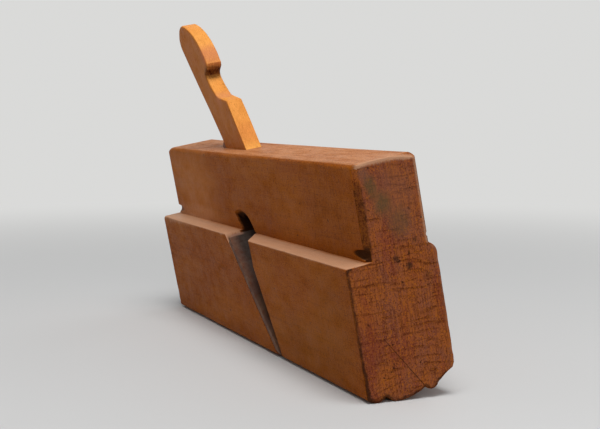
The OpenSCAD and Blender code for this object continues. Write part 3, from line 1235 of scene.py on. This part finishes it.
@dataclass(frozen=True)
class WedgeShape:
    """Sizes of the wedge: lengths are measured up the iron from the stock's top."""

    width: float = 8.1
    taper: float = 7.2
    thick: float = 24.2
    inside: float = 64.5
    tip_t: float = 1.6
    tip_len: float = 26.0
    step_at: float = 11.0
    step_len: float = 9.0
    neck_foot_t: float = 16.9
    neck_t: float = 14.9
    neck_hollow: float = 0.6
    notch_at: float = 34.1
    notch_r: float = 1.9
    ease: float = 1.3
    horn_r: float = 1.75
    head_top_at: float = 45.5
    head_t: float = 23.3
    head_at: float = 74.7
    head_r: float = 42.8
    gap: float = 0.05
    side_gap: float = 0.06

    def end_circle(self) -> tuple[float, Array, float]:
        """The circle of the head's end, which touches the front curve inside and the back line.

        Its radius q solves (run - q)^2 + (q + r - t)^2 = (r - q)^2.

        Returns:
            Its radius, its centre and the angle at which the front curve passes into it.
        """
        run = self.head_at - self.head_top_at
        low = self.head_r - self.head_t
        m = low + self.head_r - run
        q = math.sqrt(m * m - run * run - low * low + self.head_r**2) - m
        centre = np.array([self.head_at - q, q])
        turn = math.degrees(math.atan2(q + low, centre[0] - self.head_top_at))
        return q, centre, turn

    def front(self, s: float) -> float:
        """Thickness of the straight taper at a length above the stock."""
        return self.thick + s * math.tan(math.radians(self.taper))

    def outline(self) -> Array:
        """Works out the wedge's outline.

        Returns:
            Points of length and thickness, from the tip round by the front.
        """
        q, end, turn = self.end_circle()
        tip, low = self.tip_len - self.inside, self.step_at - self.ease
        tip_front, low_front = (tip, self.front(tip)), (low, self.front(low))
        foot = (self.step_at + self.step_len, self.neck_foot_t)
        lip = self.notch_at + self.notch_r
        lip_turn = 90 + math.degrees(math.asin((self.head_top_at - lip - self.ease) / self.head_r))
        taper = tip_front + np.linspace(0, 1, 9)[:-1, None] * np.subtract(low_front, tip_front)
        back = np.linspace(end[0], -self.inside, 40)[1:, None]
        return np.vstack([
            [(-self.inside, self.tip_t)], taper,
            arc((low - 0.2 * self.horn_r, low_front[1] - self.horn_r), self.horn_r, 83, 46, 5),
            [foot], hollow(foot, (self.notch_at, self.neck_t), -self.neck_hollow),
            arc((self.notch_at, self.neck_t + self.notch_r), self.notch_r, 270, 360),
            [(lip, self.head_t - 2 * self.ease)],
            arc((self.head_top_at, self.head_t - self.head_r), self.head_r, lip_turn, turn, 20),
            arc(end, q, turn, -90, 20)[1:], np.hstack([back, 0 * back])])


@dataclass
class Stock:
    """The beech body: a section carried along its length, worn at its arrises, then cut.

    Attributes:
        shape: Its sizes.
        sole: The moulding on its sole.
        placing: How the plane stands in the frame.
        bed: The bed of the iron.
        iron: The iron's sizes, which the throat follows.
        wedge: The wedge's sizes, which the mortise follows.
        pitch: The spacing of its sections.
        near_end: The closer places of its sections near an end.
    """

    shape: StockShape
    sole: SoleShape
    placing: Placing
    bed: Bed
    iron: IronShape
    wedge: WedgeShape
    pitch: float = 2.0
    near_end: tuple[float, ...] = (0, .03, .08, .15, .25, .4, .6, .85, 1.15, 1.5, 1.8, 2.05,
                                   2.3, 2.6, 3.2, 4, 5, 6.2, 7.5, 9, 10.5)

    def section(self) -> tuple[Array, Array, Array, Array]:
        """The section's points, seen from the toe.

        Returns:
            The points with sharp corners, what each gains for each unit of its corner's radius,
            the number of its corner's radius (0 where it has none), and whether it is on the grip.
        """
        s = self.shape
        y0, y1 = s.ledge_d, s.blind
        left, right, up = (-1, 0), (1, 0), (0, 1)
        sole = self.sole
        centre = np.add(sole.swell_low, (0, swell_radius(sole.swell_low, sole.start)))
        blind_top = (s.width - s.shoulder_r, s.shoulder_h - s.shoulder_r)
        meet = math.degrees(math.acos((y1 - blind_top[0]) / s.shoulder_r))
        shoulder = arc(blind_top, s.shoulder_r, 0, meet, 10)
        runs: list[tuple[Array, Array | None, int, bool]] = [
            (*corner((0, 0), left, np.subtract(sole.start, centre), 3), 1, False),
            (sole.outline()[1:], None, 0, False),
            (between(sole.side_foot, shoulder[0], clear=0.6), None, 0, False),
            (shoulder, None, 0, False),
            (between(shoulder[-1], (y1, s.height), clear=0.6)[:-2], None, 0, True),
            (*corner((y1, s.height), right, up, 8), 2, True),
            (between((y1, s.height), (y0, s.height), clear=4.2), None, 0, True),
            (*corner((y0, s.height), up, left, 7), 3, True),
            (between((y0, s.height), (y0, s.ledge_h), clear=0.35)[2:], None, 0, True),
            (np.array([[y0, s.ledge_h]]), None, 0, True),
            (between((y0, s.ledge_h), (0, s.ledge_h), 1.6, 1.9), None, 0, False),
            (*corner((0, s.ledge_h), up, left, 5), 1, False),
            (between((0, s.ledge_h), (0, 0), clear=1.9), None, 0, False),
        ]
        base = np.vstack([r[0] for r in runs])
        gain = np.vstack([np.zeros_like(r[0]) if r[1] is None else r[1] for r in runs])
        which, grip = (np.concatenate([np.full(len(r[0]), r[k]) for r in runs]) for k in (2, 3))
        return base, gain, which, grip

    @staticmethod
    def to_upright(points: Array) -> Array:
        """Turns points of place across, height and place along into upright points."""
        return points[:, [2, 0, 1]]

    def stations(self) -> Array:
        """Works out where along the stock the section is set.

        Returns:
            The places, which are close together near the ends.
        """
        near, length = np.array(self.near_end), self.shape.length
        middle = np.arange(near[-1] + self.pitch, length - near[-1] - 1, self.pitch)
        return np.concatenate([near, middle, (length - near)[::-1]])

    def radii(self, x: Array) -> Array:
        """The corners' radii, which wander by a smooth random curve and change near the ends.

        Args:
            x: Places along the stock.

        Returns:
            An array (places, 4): none, the arrises, the blind and the escapement side's top edge.
        """
        s = self.shape
        to_end = np.minimum(x, s.length - x)
        return np.stack([
            np.zeros_like(x), s.arris_r * (1 + 0.5 * wobble(x, 9, 1)) + np.exp(-to_end / 3),
            s.blind_edge_r * (1 + 0.06 * wobble(x, 24, 2)) - 0.9 * np.exp(-to_end / 14),
            s.side_edge_r * (1 + 0.22 * wobble(x, 15, 3)) + 0.9 * np.exp(-to_end / 5)], axis=1)

    def skin(self) -> tuple[bpy.types.Object, Array]:
        """The uncut body.

        At each place x the whole outline sinks along its normals by the quarter-round of the
        rim, which is chipped, and the grip is held inside the planes of its chamfers, of the
        toe's bevel and of the heel's round.

        Returns:
            The body and the outline of its toe.
        """
        s = self.shape
        base, gain, which, grip = self.section()
        x = self.stations()[:, None]
        to_end = np.minimum(x, s.length - x)
        radii = self.radii(x[:, 0])
        grown = base + gain * radii.mean(0)[which][:, None]
        steps = np.linalg.norm(np.diff(grown, axis=0), axis=1)
        around = np.concatenate([[0], np.cumsum(steps)])
        chips = np.clip(wobble(around, 1.7, 5) - 0.25, 0, 1) * 0.8
        chips += 0.2 * np.abs(wobble(around, 4.5, 6))
        on_blind_face = grip & (base[:, 0] > s.blind - 0.1) & (base[:, 1] < s.height - 1)
        ragged = np.where(on_blind_face, 0.8, 0.35) + chips * np.where(grip, 0.35, 1.0)
        wave = wobble(x + 0.7 * around[None], 21, 9) * wobble(around[None] - 0.2 * x, 17, 10)
        inset = rim_inset(to_end, ragged[None]) + 0.05 * (1 + wave)
        ring = base[None] + gain[None] * radii[:, which][..., None]
        ring = ring - outline_normals(grown)[None] * inset[..., None]
        bevel = s.toe_bevel * (0.2 + 2.2 * ((ring[..., 0] - s.middle + 1.6) / 13) ** 2)
        top = np.maximum(0, bevel - s.length + x) + rim_inset(x, np.full_like(x, s.heel_r))
        y = hold(ring[..., 0], s.ledge_d + np.maximum(0, s.chamfer - to_end),
                 s.blind - np.maximum(0, s.blind_chamfer - to_end))
        z = hold(ring[..., 1], -np.inf, s.height - top)
        ring = np.where(grip[None, :, None], np.stack([y, z], -1), ring)
        body = skinned("stock_body", ring, x[:, 0], self.to_upright, self.placing, 1.6, 0.05)
        return body, ring[-1]

    def eye(self) -> bpy.types.Object:
        """The cutter of the conical escapement.

        Its circle shrinks evenly from eye_r on the escapement side to nothing at the wedge's
        middle, and the part in front of the bed is kept: at each place across, the arc runs
        between the two angles at which the circle crosses the bed.

        Returns:
            The cutter.
        """
        s = self.shape
        count, n, outside, short = 9, 65, 2, 0.02
        last = s.middle * (1 - s.eye_back / s.eye_r) - short
        y = np.linspace(-outside, last, count)[:, None]
        r = s.eye_r * (1 - y / s.middle)
        a = np.arccos(np.clip(s.eye_back / r, -1, 1)) * np.linspace(-1, 1, n)[None]
        points = self.bed.upright(s.eye_along + r * np.sin(a), r * np.cos(a) - s.eye_back, y)
        ends = [list(range(n)), list(range((count - 1) * n, count * n))]
        return mesh_object("eye", points.reshape(-1, 3), band_faces(count, n).tolist() + ends,
                           self.placing)

    def gouges(self) -> bpy.types.Object:
        """The four gouge cuts at the feet of the chamfers.

        Each is a round bar that enters at a corner of the grip and rises out of its face.

        Returns:
            One cutter.
        """
        s = self.shape
        around = np.radians(np.arange(0, 360, 10))
        along = np.array([-s.gouge_len / 4, s.gouge_len])[:, None]
        ends = []
        for at_toe in (False, True):
            for at_blind in (False, True):
                radius = s.blind_gouge_r if at_blind else s.gouge_r
                slope = math.atan(radius / s.gouge_len)
                across, up = radius * np.cos(around)[None], radius * np.sin(around)[None]
                out = along * math.sin(slope) + across * math.cos(slope)
                run = along * math.cos(slope) - across * math.sin(slope)
                x = s.length - run if at_toe else run
                y = s.blind + out if at_blind else s.ledge_d - out
                foot = s.shoulder_h if at_blind else s.ledge_h
                ends.append(np.stack([x, y, np.broadcast_to(foot + s.gouge_h + up, x.shape)], -1))
        return bars("gouges", ends, self.placing)

    def cutters(self) -> list[bpy.types.Object]:
        """Makes what is cut out of the stock.

        Returns:
            The cutters of the throat, the mortise, the escapement and the gouge cuts.
        """
        s, iron, wedge, b = self.shape, self.iron, self.wedge, self.bed
        outside, above = 1, 20
        angle, wear = math.radians(s.bed_angle), math.radians(s.wear_angle)
        front = iron.gap + iron.thick
        mouth = b.foot_x + front / math.sin(angle) + s.mouth_open
        low = 2 * self.sole.round_low[1]
        wear_top = np.array([mouth - s.wear_h / math.tan(wear), s.wear_h])
        throat = np.vstack([(b.foot_x - low / math.tan(angle), low),
                            (mouth - low / math.tan(wear), low), wear_top,
                            b.lengthwise(s.slot_len, front + s.slot_ease),
                            b.lengthwise(s.slot_len, 0)])
        foot = front + wedge.gap
        s0 = (s.height - foot * math.cos(angle)) / math.sin(angle)
        low_s = (b.foot_x - wear_top[0]) * math.cos(angle) + wear_top[1] * math.sin(angle)
        top_s = s0 + above
        low_t, top_t = (foot + wedge.front(at - s0) + wedge.gap for at in (low_s, top_s))
        mortise = b.lengthwise(np.array([low_s, low_s, top_s, top_s]),
                               np.array([0, low_t, top_t, 0]))
        half = wedge.width / 2 + wedge.side_gap
        return [prism("throat", throat, -outside, s.slot_depth, self.placing),
                prism("mortise", mortise, s.middle - half, s.middle + half, self.placing),
                self.eye(), self.gouges()]

    def edge_wear(self, obj: bpy.types.Object, toe: Array) -> tuple[Array, Array]:
        """How dark, and how bare, the arrises are; the ledge is also painted paler, partly as
        painted light.

        Both are a weight times exp(-distance / fall). The distance is taken to the outline on
        the end faces and to the end elsewhere. The dark weight is greatest at the foot of the
        escapement side and along the sole, and the bare one on the grip's top and blind side.
        The ledge's outer arris is bare too, by its own distance, and the whole ledge is painted
        paler as well, partly as wear and partly as painted light. The chamfer at the toe is dark.

        Args:
            obj: The cut body.
            toe: The outline of its toe.

        Returns:
            The dark and the bare-and-lit values, one of each per point.
        """
        s = self.shape
        flat = np.empty(len(obj.data.vertices) * 3, np.float32)
        obj.data.vertices.foreach_get("co", flat)
        p = self.placing.undo(flat.reshape(-1, 3))
        x, y, z = p.T
        gap = np.minimum(x, s.length - x)
        on_end = gap < 0.12
        gap[on_end] = outline_distance(p[on_end][:, 1:], toe)
        gap = np.maximum(gap, 0)
        side = np.clip((6 - y) / 4, 0, 1) * (0.85 + 0.3 * np.clip((20 - z) / 18, 0, 1))
        side *= z < s.ledge_h - 0.5
        dark = np.maximum.reduce([0.85 * np.clip((5 - z) / 4, 0, 1), side, np.full(len(p), 0.2)])
        dark *= np.clip((s.height - 8 - z) / 6, 0, 1)
        on_grip = z > s.shoulder_h
        bare_and_lit = np.maximum.reduce([0.62 * (on_grip & (y > s.blind - 2.5)),
                                  0.95 * (on_grip & (z > s.height - 2)), 0.35 * (y > s.blind)])
        arris = np.hypot(y, z - s.ledge_h)
        # The whole ledge is painted paler, partly as wear and partly as painted light.
        on_ledge = (np.abs(z - s.ledge_h) < 0.3) & (y < s.ledge_d - 1)
        bare_and_lit = np.maximum.reduce([bare_and_lit * np.exp(-gap / 1.3), 0.75 * on_ledge,
                                  0.6 * np.exp(-np.maximum(arris - 0.25, 0) / 0.45)])
        chamfer = (on_grip & (z < s.height - 8) & (x > s.length - s.chamfer - 0.2)
                   & (y < s.ledge_d + s.chamfer + 0.2))
        return np.maximum(dark * np.exp(-gap), 0.65 * chamfer), bare_and_lit

    def spots(self) -> tuple[Spot, ...]:
        """The stains, and a patch of painted light at the foot of the grip.

        Returns:
            Those on the toe, and then those on the grip's side with the painted light at its foot,
            the ledge and the body's side.
        """
        toe, side, ledge = self.shape.length, self.shape.ledge_d, self.shape.ledge_h
        return (
            Spot((toe, 24.0, 76.0), (5, 16.0, 16.0), 0.45, srgb(126, 82, 66)),
            Spot((toe, 15.6, 79.5), (5, 3.8, 6.5), 0.72, srgb(86, 74, 46)),
            Spot((toe, 19.5, 72.5), (5, 5.0, 7.0), 0.7, srgb(86, 74, 46)),
            Spot((toe, 25.0, 64.0), (5, 7.0, 9.0), 0.55, srgb(98, 78, 56)),
            Spot((toe, 13.5, 85.0), (5, 3.5, 5.0), 0.4, srgb(96, 80, 74)),
            Spot((toe, 21.1, 50.5), (5, 1.9, 1.9), 0.75),
            Spot((toe, 26.5, 46.8), (5, 1.8, 2.2), 0.95),
            Spot((toe, 30.8, 56.0), (5, 1.5, 1.5), 0.6),
            Spot((toe, 34.0, 41.8), (5, 1.6, 1.4), 0.5),
            Spot((36.0, side, 72.0), (60, 3, 34), 0.5, srgb(196, 122, 58)),
            Spot((214.0, side, 66.0), (34, 3, 26), 0.3, srgb(96, 40, 8)),
            # Painted light thrown up from the ledge onto the foot of the grip.
            Spot((40.0, side, 54.0), (60, 3, 7), 0.55, srgb(204, 140, 92)),
            Spot((24.0, side / 2, ledge), (66, 7, 4), 0.6, srgb(228, 190, 156)),
            Spot((190.0, 0.0, 12.0), (60, 3, 22), 0.25, srgb(132, 84, 12)),
            Spot((222.0, 0.0, 30.0), (30, 3, 30), 0.22, srgb(120, 74, 14)),
            Spot((toe, 4.5, 22.0), (5, 7.0, 20.0), 0.3, srgb(116, 48, 30)),
        )

    def build(self) -> bpy.types.Object:
        """Builds, cuts and dresses the stock.

        Returns:
            The finished piece.
        """
        s = self.shape
        body, toe = self.skin()
        cut(body, self.cutters())
        smooth(body)
        for name, values in zip(("edge", "bare_and_lit"), self.edge_wear(body, toe)):
            add_attribute(body, name, values)
        upright = self.placing.matrix().inverted()
        # Painted shade for the stock's openings and corner cuts.
        painted_recess_shade = PaintedRecessShade(s.length, (s.ledge_d, s.blind), s.ledge_h, s.height, s.throat)
        scribe = Scribe((s.length, *self.sole.quirk_2), math.radians(s.spring_angle),
                        s.spring_len, s.scribe)
        body.data.materials.clear()
        body.data.materials.append(Finish.STOCK.value.material(
            upright, upright, self.spots(), painted_recess_shade, scribe))
        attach(body, "stock")
        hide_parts("stock")
        return body


@dataclass
class Wedge:
    """The beech wedge: its outline carried across its width, with worn rims.

    Attributes:
        shape: Its sizes.
        middle: Where its middle lies across the stock.
        start_s, start_t: Where its back meets the stock's top, up the bed and in front of it.
        placing: How the plane stands in the frame.
        bed: The bed of the iron.
        near_side: The places of its outlines from a side to the middle.
    """

    shape: WedgeShape
    middle: float
    start_s: float
    start_t: float
    placing: Placing
    bed: Bed
    near_side: tuple[float, ...] = (0, .03, .1, .2, .33, .5, .7, .95, 1.3, 2.2, 3.1)

    def to_upright(self, points: Array) -> Array:
        """Turns points of length, thickness and place across into upright points."""
        return self.bed.upright(self.start_s + points[:, 0], self.start_t + points[:, 1],
                                points[:, 2])

    def spots(self) -> tuple[Spot, ...]:
        """The stains, and the shade painted in the notch.

        Returns:
            Those under the head, the painted shade in the notch, and those above the step and on
            the front.
        """
        h, s, t, y = self.shape, self.start_s, self.start_t, self.middle
        return (
            Spot((s + h.notch_at + 8.5, y, t + h.head_t), (9.0, 14, 6.5), 0.7,
                 srgb(192, 110, 76)),
            # Painted shade in the notch under the head's lip.
            Spot((s + h.notch_at + 1.7, y, t + h.neck_t + 3.0), (3.9, 14, 5.8), 1.0,
                 srgb(54, 14, 2)),
            Spot((s + h.step_at + 8, y, t + h.neck_foot_t + 1), (8.0, 14, 5.0), 0.55,
                 srgb(200, 126, 92)),
            Spot((s - 9, y, t + h.thick), (9.0, 14, 7.0), 0.35, srgb(206, 120, 66)),
            Spot((s - 21, y, t + h.thick), (7.5, 14, 7.0), 0.7, srgb(255, 190, 96)),
        )

    def build(self) -> bpy.types.Object:
        """Builds and dresses the wedge.

        At each place across, the outline sinks along its normals by the quarter-round of its
        rim, whose radius is small inside the stock and larger on the neck and the head.

        Returns:
            The finished piece.
        """
        ring = self.shape.outline()[::-1]
        worn = 0.25 + 0.75 / (1 + np.exp(-(ring[:, 0] - 4) / 1.5))
        radius = worn * (1 + 0.2 * wobble(ring[:, 0] + 2 * ring[:, 1], 6, 21))
        near, half = np.array(self.near_side), self.shape.width / 2
        depth = np.concatenate([near, [half], near[::-1]])
        across = np.concatenate([near - half, [0], (half - near)[::-1]])
        inset = rim_inset(depth[:, None], radius[None])
        rings = ring[None] - outline_normals(ring)[None] * inset[..., None]
        body = skinned("wedge_body", rings, self.middle + across, self.to_upright, self.placing,
                       2.2, 0.04)
        smooth(body)
        upright = self.placing.matrix().inverted()
        body.data.materials.append(Finish.WEDGE.value.material(
            self.bed.matrix().inverted() @ upright, upright, self.spots()))
        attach(body, "wedge")
        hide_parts("wedge")
        return body


@dataclass
class Iron:
    """The steel iron: its outline carried through its thickness, ground to the sole's shape.

    Attributes:
        shape: Its sizes.
        sole: The moulding that its edge follows.
        middle: Where the tang's middle lies across the stock.
        top_s: Where the stock's top lies up the bed.
        shade: The part of it that lies in the dark.
        placing: How the plane stands in the frame.
        bed: The bed that it lies on.
        near_face: The closer places of its outlines near a face.
        edge_points: The number of even points along its edge.
        straight_from: Where its straight sides start, up the bed.
    """

    shape: IronShape
    sole: SoleShape
    middle: float
    top_s: float
    shade: Shade
    placing: Placing
    bed: Bed
    near_face: tuple[float, ...] = (0, .03, .07, .14, .35)
    edge_points: int = 40
    straight_from: float = 3.0

    def to_upright(self, points: Array) -> Array:
        """Turns points of place across, length and distance from the bed into upright points."""
        return self.bed.upright(points[:, 1], points[:, 2], points[:, 0])

    def edge(self) -> tuple[Array, Array]:
        """The cutting edge on the front face.

        It follows the sole: s = (z - t cos a) / sin a, where z is the sole's height and t the
        front face's distance from the bed.

        Returns:
            Places across, and lengths up the bed.
        """
        h, a = self.shape, self.bed.angle
        sole = self.sole.outline()
        inner = sole[(sole[:, 0] > h.blade_y0) & (sole[:, 0] < h.blade_y1), 0]
        even = np.linspace(h.blade_y0, h.blade_y1, self.edge_points)
        y = np.unique(np.concatenate([even, inner]))
        back = h.edge_back / (1 - math.tan(math.radians(h.clearance)) / math.tan(a))
        z = np.interp(y, sole[:, 0], sole[:, 1]) + back
        return y, (z - (h.gap + h.thick) * math.cos(a)) / math.sin(a)

    def outline(self) -> tuple[Array, Array]:
        """The front face's outline.

        Returns:
            Points across and up the bed, and whether each is ground.
        """
        h = self.shape
        y, edge = self.edge()
        t0, t1 = self.middle - h.tang_w / 2, self.middle + h.tang_w / 2
        blade_top, tang_foot = h.shoulder - h.outer_r, h.shoulder + h.inner_r
        tang_top = self.top_s + h.tang_out - h.tang_r
        side = functools.partial(between, pitch=4, clear=0.5)
        rest = np.vstack([
            side((h.blade_y1, self.straight_from), (h.blade_y1, blade_top)),
            arc((h.blade_y1 - h.outer_r, blade_top), h.outer_r, 0, 90, 8),
            arc((t1 + h.inner_r, tang_foot), h.inner_r, 270, 180, 8),
            side((t1, tang_foot), (t1, tang_top)),
            arc((t1 - h.tang_r, tang_top), h.tang_r, 0, 90, 6),
            arc((t0 + h.tang_r, tang_top), h.tang_r, 90, 180, 6),
            side((t0, tang_top), (t0, tang_foot)),
            arc((t0 - h.inner_r, tang_foot), h.inner_r, 0, -90, 8),
            arc((h.blade_y0 + h.outer_r, blade_top), h.outer_r, 90, 180, 8),
            side((h.blade_y0, blade_top), (h.blade_y0, self.straight_from))])
        ground = np.arange(len(y) + len(rest)) < len(y)
        return np.vstack([np.column_stack([y, edge]), rest]), ground

    def bright_faces(self, mesh: bpy.types.Mesh) -> Array:
        """Finds the faces of the ground bevel, which are low and look down and to the heel.

        Args:
            mesh: The iron's mesh.

        Returns:
            One truth value per face.
        """
        centre = np.array([f.center for f in mesh.polygons])
        normal = np.array([f.normal for f in mesh.polygons])
        m = np.array(self.placing.matrix().inverted())
        facing = normal @ (m[:3, :3].T / np.linalg.norm(m[0, :3]))
        return ((self.placing.undo(centre)[:, 2] < 8) & (facing[:, 2] < -0.5)
                & (facing[:, 0] < 0.5) & (facing[:, 0] > -0.72))

    def build(self) -> bpy.types.Object:
        """Builds and dresses the iron.

        From the front face to the back, the ground points rise evenly up the bed by the
        clearance, and the others sink by a small round at each face.

        Returns:
            The finished piece.
        """
        h = self.shape
        ring, ground = self.outline()
        a, c = self.bed.angle, math.radians(h.clearance)
        near = np.array(self.near_face)
        depth = np.concatenate([near, [h.thick / 2], (h.thick - near)[::-1]])
        to_face = np.minimum(depth, h.thick - depth)
        inset = rim_inset(to_face[:, None], np.where(ground, 1e-6, h.rim_r)[None])
        rings = ring[None] - outline_normals(ring)[None] * inset[..., None]
        rings[..., 1] += ground[None] * depth[:, None] / math.tan(a - c)
        body = skinned("iron_body", rings, h.gap + h.thick - depth, self.to_upright,
                       self.placing, 2.5, 0.03)
        smooth(body)
        for finish in (Finish.FORGED, Finish.GROUND):
            body.data.materials.append(finish.value.material(
                self.placing.matrix().inverted(), self.shade))
        bright = self.bright_faces(body.data)
        body.data.polygons.foreach_set("material_index", bright.astype(np.int32))
        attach(body, "iron")
        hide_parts("iron")
        return body


# The studio

@dataclass(frozen=True)
class Lamp:
    """A soft lamp: its name, place, size, power and the point it faces, in metres and watts."""

    name: str
    place: Numbers
    size: float
    power: float
    target: Numbers = (0.0, 0.0, 0.05)


@dataclass
class Studio:
    """The floor, the lamps, the sky and the camera.

    Attributes:
        placing: How the plane stands in the frame.
        camera_from_heel: The camera's place from the heel end of the leaned sole line.
        azimuth, pitch: Its direction, in degrees.
        focal_px: Its focal length in pixels of the image.
        sensor: Its sensor's width.
        sky, sky_colour: Strength and colour of the even light from all round.
        backdrop: Colour of what the camera sees behind the floor.
        floor, floor_roughness: Colour and roughness of the floor.
        fade: Where the floor starts and ends to pass into the backdrop, in metres.
        lamps: The lamps.
    """

    placing: Placing
    camera_from_heel: Numbers = (620.85, -189.04, 108.34)
    azimuth: float = 67.01
    pitch: float = 5.06
    focal_px: float = 1136.4
    sensor: float = 36.0
    sky: float = 0.15
    sky_colour: Colour = (0.92, 0.95, 1.0)
    backdrop: Colour = (0.70, 0.70, 0.69)
    floor: Colour = (0.58, 0.58, 0.575)
    floor_roughness: float = 0.7
    fade: tuple[float, float] = (0.2, 0.9)
    lamps: tuple[Lamp, ...] = (
        Lamp("overhead", (0.4, -0.15, 1.3), 0.8, 15.4),
        Lamp("front_fill", (1.4, -0.35, 0.8), 1.0, 4.5),
        Lamp("side_fill", (-0.6, -1.2, 0.8), 1.0, 1.0),
        Lamp("back_fill", (-0.7, 1.3, 0.8), 1.0, 3.0),
    )

    def camera(self) -> None:
        """Puts the camera at the photograph's place and angle."""
        data = bpy.data.cameras.new("camera")
        data.sensor_fit, data.sensor_width = "HORIZONTAL", self.sensor
        data.lens = self.focal_px * self.sensor / IMAGE_WIDTH
        data.clip_start = 0.01
        obj = link("camera", data)
        p, x = self.placing, self.camera_from_heel
        obj.location = Vector((x[0] - p.length / 2, x[1] - p.middle, x[2] + p.lift)) * MM
        obj.rotation_euler = Euler((math.radians(90 - self.pitch), 0, math.radians(self.azimuth)))
        bpy.context.scene.camera = obj

    def light(self) -> None:
        """Hangs the lamps."""
        for lamp in self.lamps:
            data = bpy.data.lights.new(lamp.name, "AREA")
            data.shape, data.size, data.energy = "DISK", lamp.size, lamp.power
            obj = link(lamp.name, data)
            obj.location = lamp.place
            way = Vector(lamp.target) - obj.location
            obj.rotation_euler = way.to_track_quat("-Z", "Y").to_euler()

    def world(self) -> None:
        """Lights the sky, which the camera and mirroring surfaces see as a plain backdrop."""
        world = bpy.data.worlds.new("studio")
        bpy.context.scene.world = world
        world.use_nodes = True
        tree = world.node_tree
        tree.nodes.clear()
        path, seen, fill, either, mix, out = (tree.nodes.new(kind) for kind in (
            "ShaderNodeLightPath", "ShaderNodeBackground", "ShaderNodeBackground",
            "ShaderNodeMath", "ShaderNodeMixShader", "ShaderNodeOutputWorld"))
        seen.inputs["Color"].default_value = (*self.backdrop, 1)
        fill.inputs["Color"].default_value = (*self.sky_colour, 1)
        fill.inputs["Strength"].default_value = self.sky
        either.operation, either.use_clamp = "ADD", True
        for start, end in ((path.outputs["Is Camera Ray"], either.inputs[0]),
                           (path.outputs["Is Glossy Ray"], either.inputs[1]),
                           (either.outputs[0], mix.inputs["Fac"]),
                           (fill.outputs[0], mix.inputs[1]), (seen.outputs[0], mix.inputs[2]),
                           (mix.outputs[0], out.inputs["Surface"])):
            tree.links.new(start, end)

    def ground(self) -> None:
        """Lays the pale floor, a disc whose far part takes the backdrop's own colour."""
        radius = np.array([0, 0.4, 1, 2, 3.5, 6, 9, 12])[:, None]
        turn = np.radians(np.arange(0, 360, 7.5))[None]
        points = np.stack([radius * np.cos(turn), radius * np.sin(turn), 0 * radius * turn], -1)
        faces = band_faces(*points.shape[:2])[:, ::-1]
        mesh = bpy.data.meshes.new("floor")
        mesh.from_pydata(points.reshape(-1, 3).tolist(), [], faces.tolist())
        obj = link("floor", mesh)
        g = Graph("pale_floor")
        away = g.node("ShaderNodeVectorMath", {0: g.object}, operation="LENGTH").outputs["Value"]
        glow = g.node("ShaderNodeEmission", {"Color": self.backdrop})
        g.feed(g.shader.inputs["Base Color"], self.floor)
        g.feed(g.shader.inputs["Roughness"], self.floor_roughness)
        g.feed(g.output.inputs["Surface"], g.node("ShaderNodeMixShader", {
            0: g.ease(away, *self.fade), 1: g.shader.outputs[0], 2: glow.outputs[0]}).outputs[0])
        mesh.materials.append(g.material)

    def build(self) -> None:
        """Sets up the whole studio."""
        bpy.context.scene.view_settings.view_transform = "Standard"
        self.camera()
        self.light()
        self.world()
        self.ground()


def standing(stock: StockShape, sole: SoleShape, wedge: WedgeShape, bed: Bed,
             start: tuple[float, float]) -> Placing:
    """Works out how the plane stands: leaned on its sole and centred on its width.

    The width runs from the top of the wedge's head to the low corner of the blind side.

    Args:
        stock, sole, wedge: The sizes.
        bed: The bed of the iron.
        start: Where the wedge's back meets the stock's top, in the bed's coordinates.

    Returns:
        The placing.
    """
    lean, lift = sole.standing()
    q, end, _ = wedge.end_circle()
    top = float(bed.upright(start[0] + end[0], start[1] + end[1], 0)[2]) + q
    low = (stock.middle - wedge.width / 2) * math.cos(lean) - top * math.sin(lean)
    high = sole.side_foot[0] * math.cos(lean) - sole.side_foot[1] * math.sin(lean)
    return Placing(stock.length, lean, (low + high) / 2, lift)


def main() -> None:
    """Builds the plane and its studio."""
    logging.basicConfig(level=logging.INFO, format="%(name)s: %(message)s")
    stock, sole, iron, wedge = StockShape(), SoleShape(), IronShape(), WedgeShape()
    bed = Bed(stock.length - stock.bed_to_toe, math.radians(stock.bed_angle))
    start_t = iron.gap + iron.thick + wedge.gap
    start_s = (stock.height - start_t * math.cos(bed.angle)) / math.sin(bed.angle)
    placing = standing(stock, sole, wedge, bed, (start_s, start_t))
    shade = Shade(stock.ledge_d, stock.ledge_h, stock.height - 1)
    top_s = stock.height / math.sin(bed.angle)
    Studio(placing).build()
    for maker in (Stock(stock, sole, placing, bed, iron, wedge),
                  Wedge(wedge, stock.middle, start_s, start_t, placing, bed),
                  Iron(iron, sole, stock.middle, top_s, shade, placing, bed)):
        piece = maker.build()
        LOG.info("%s: %d points, %d faces", piece.name, len(piece.data.vertices),
                 len(piece.data.polygons))


if __name__ == "__main__":
    main()
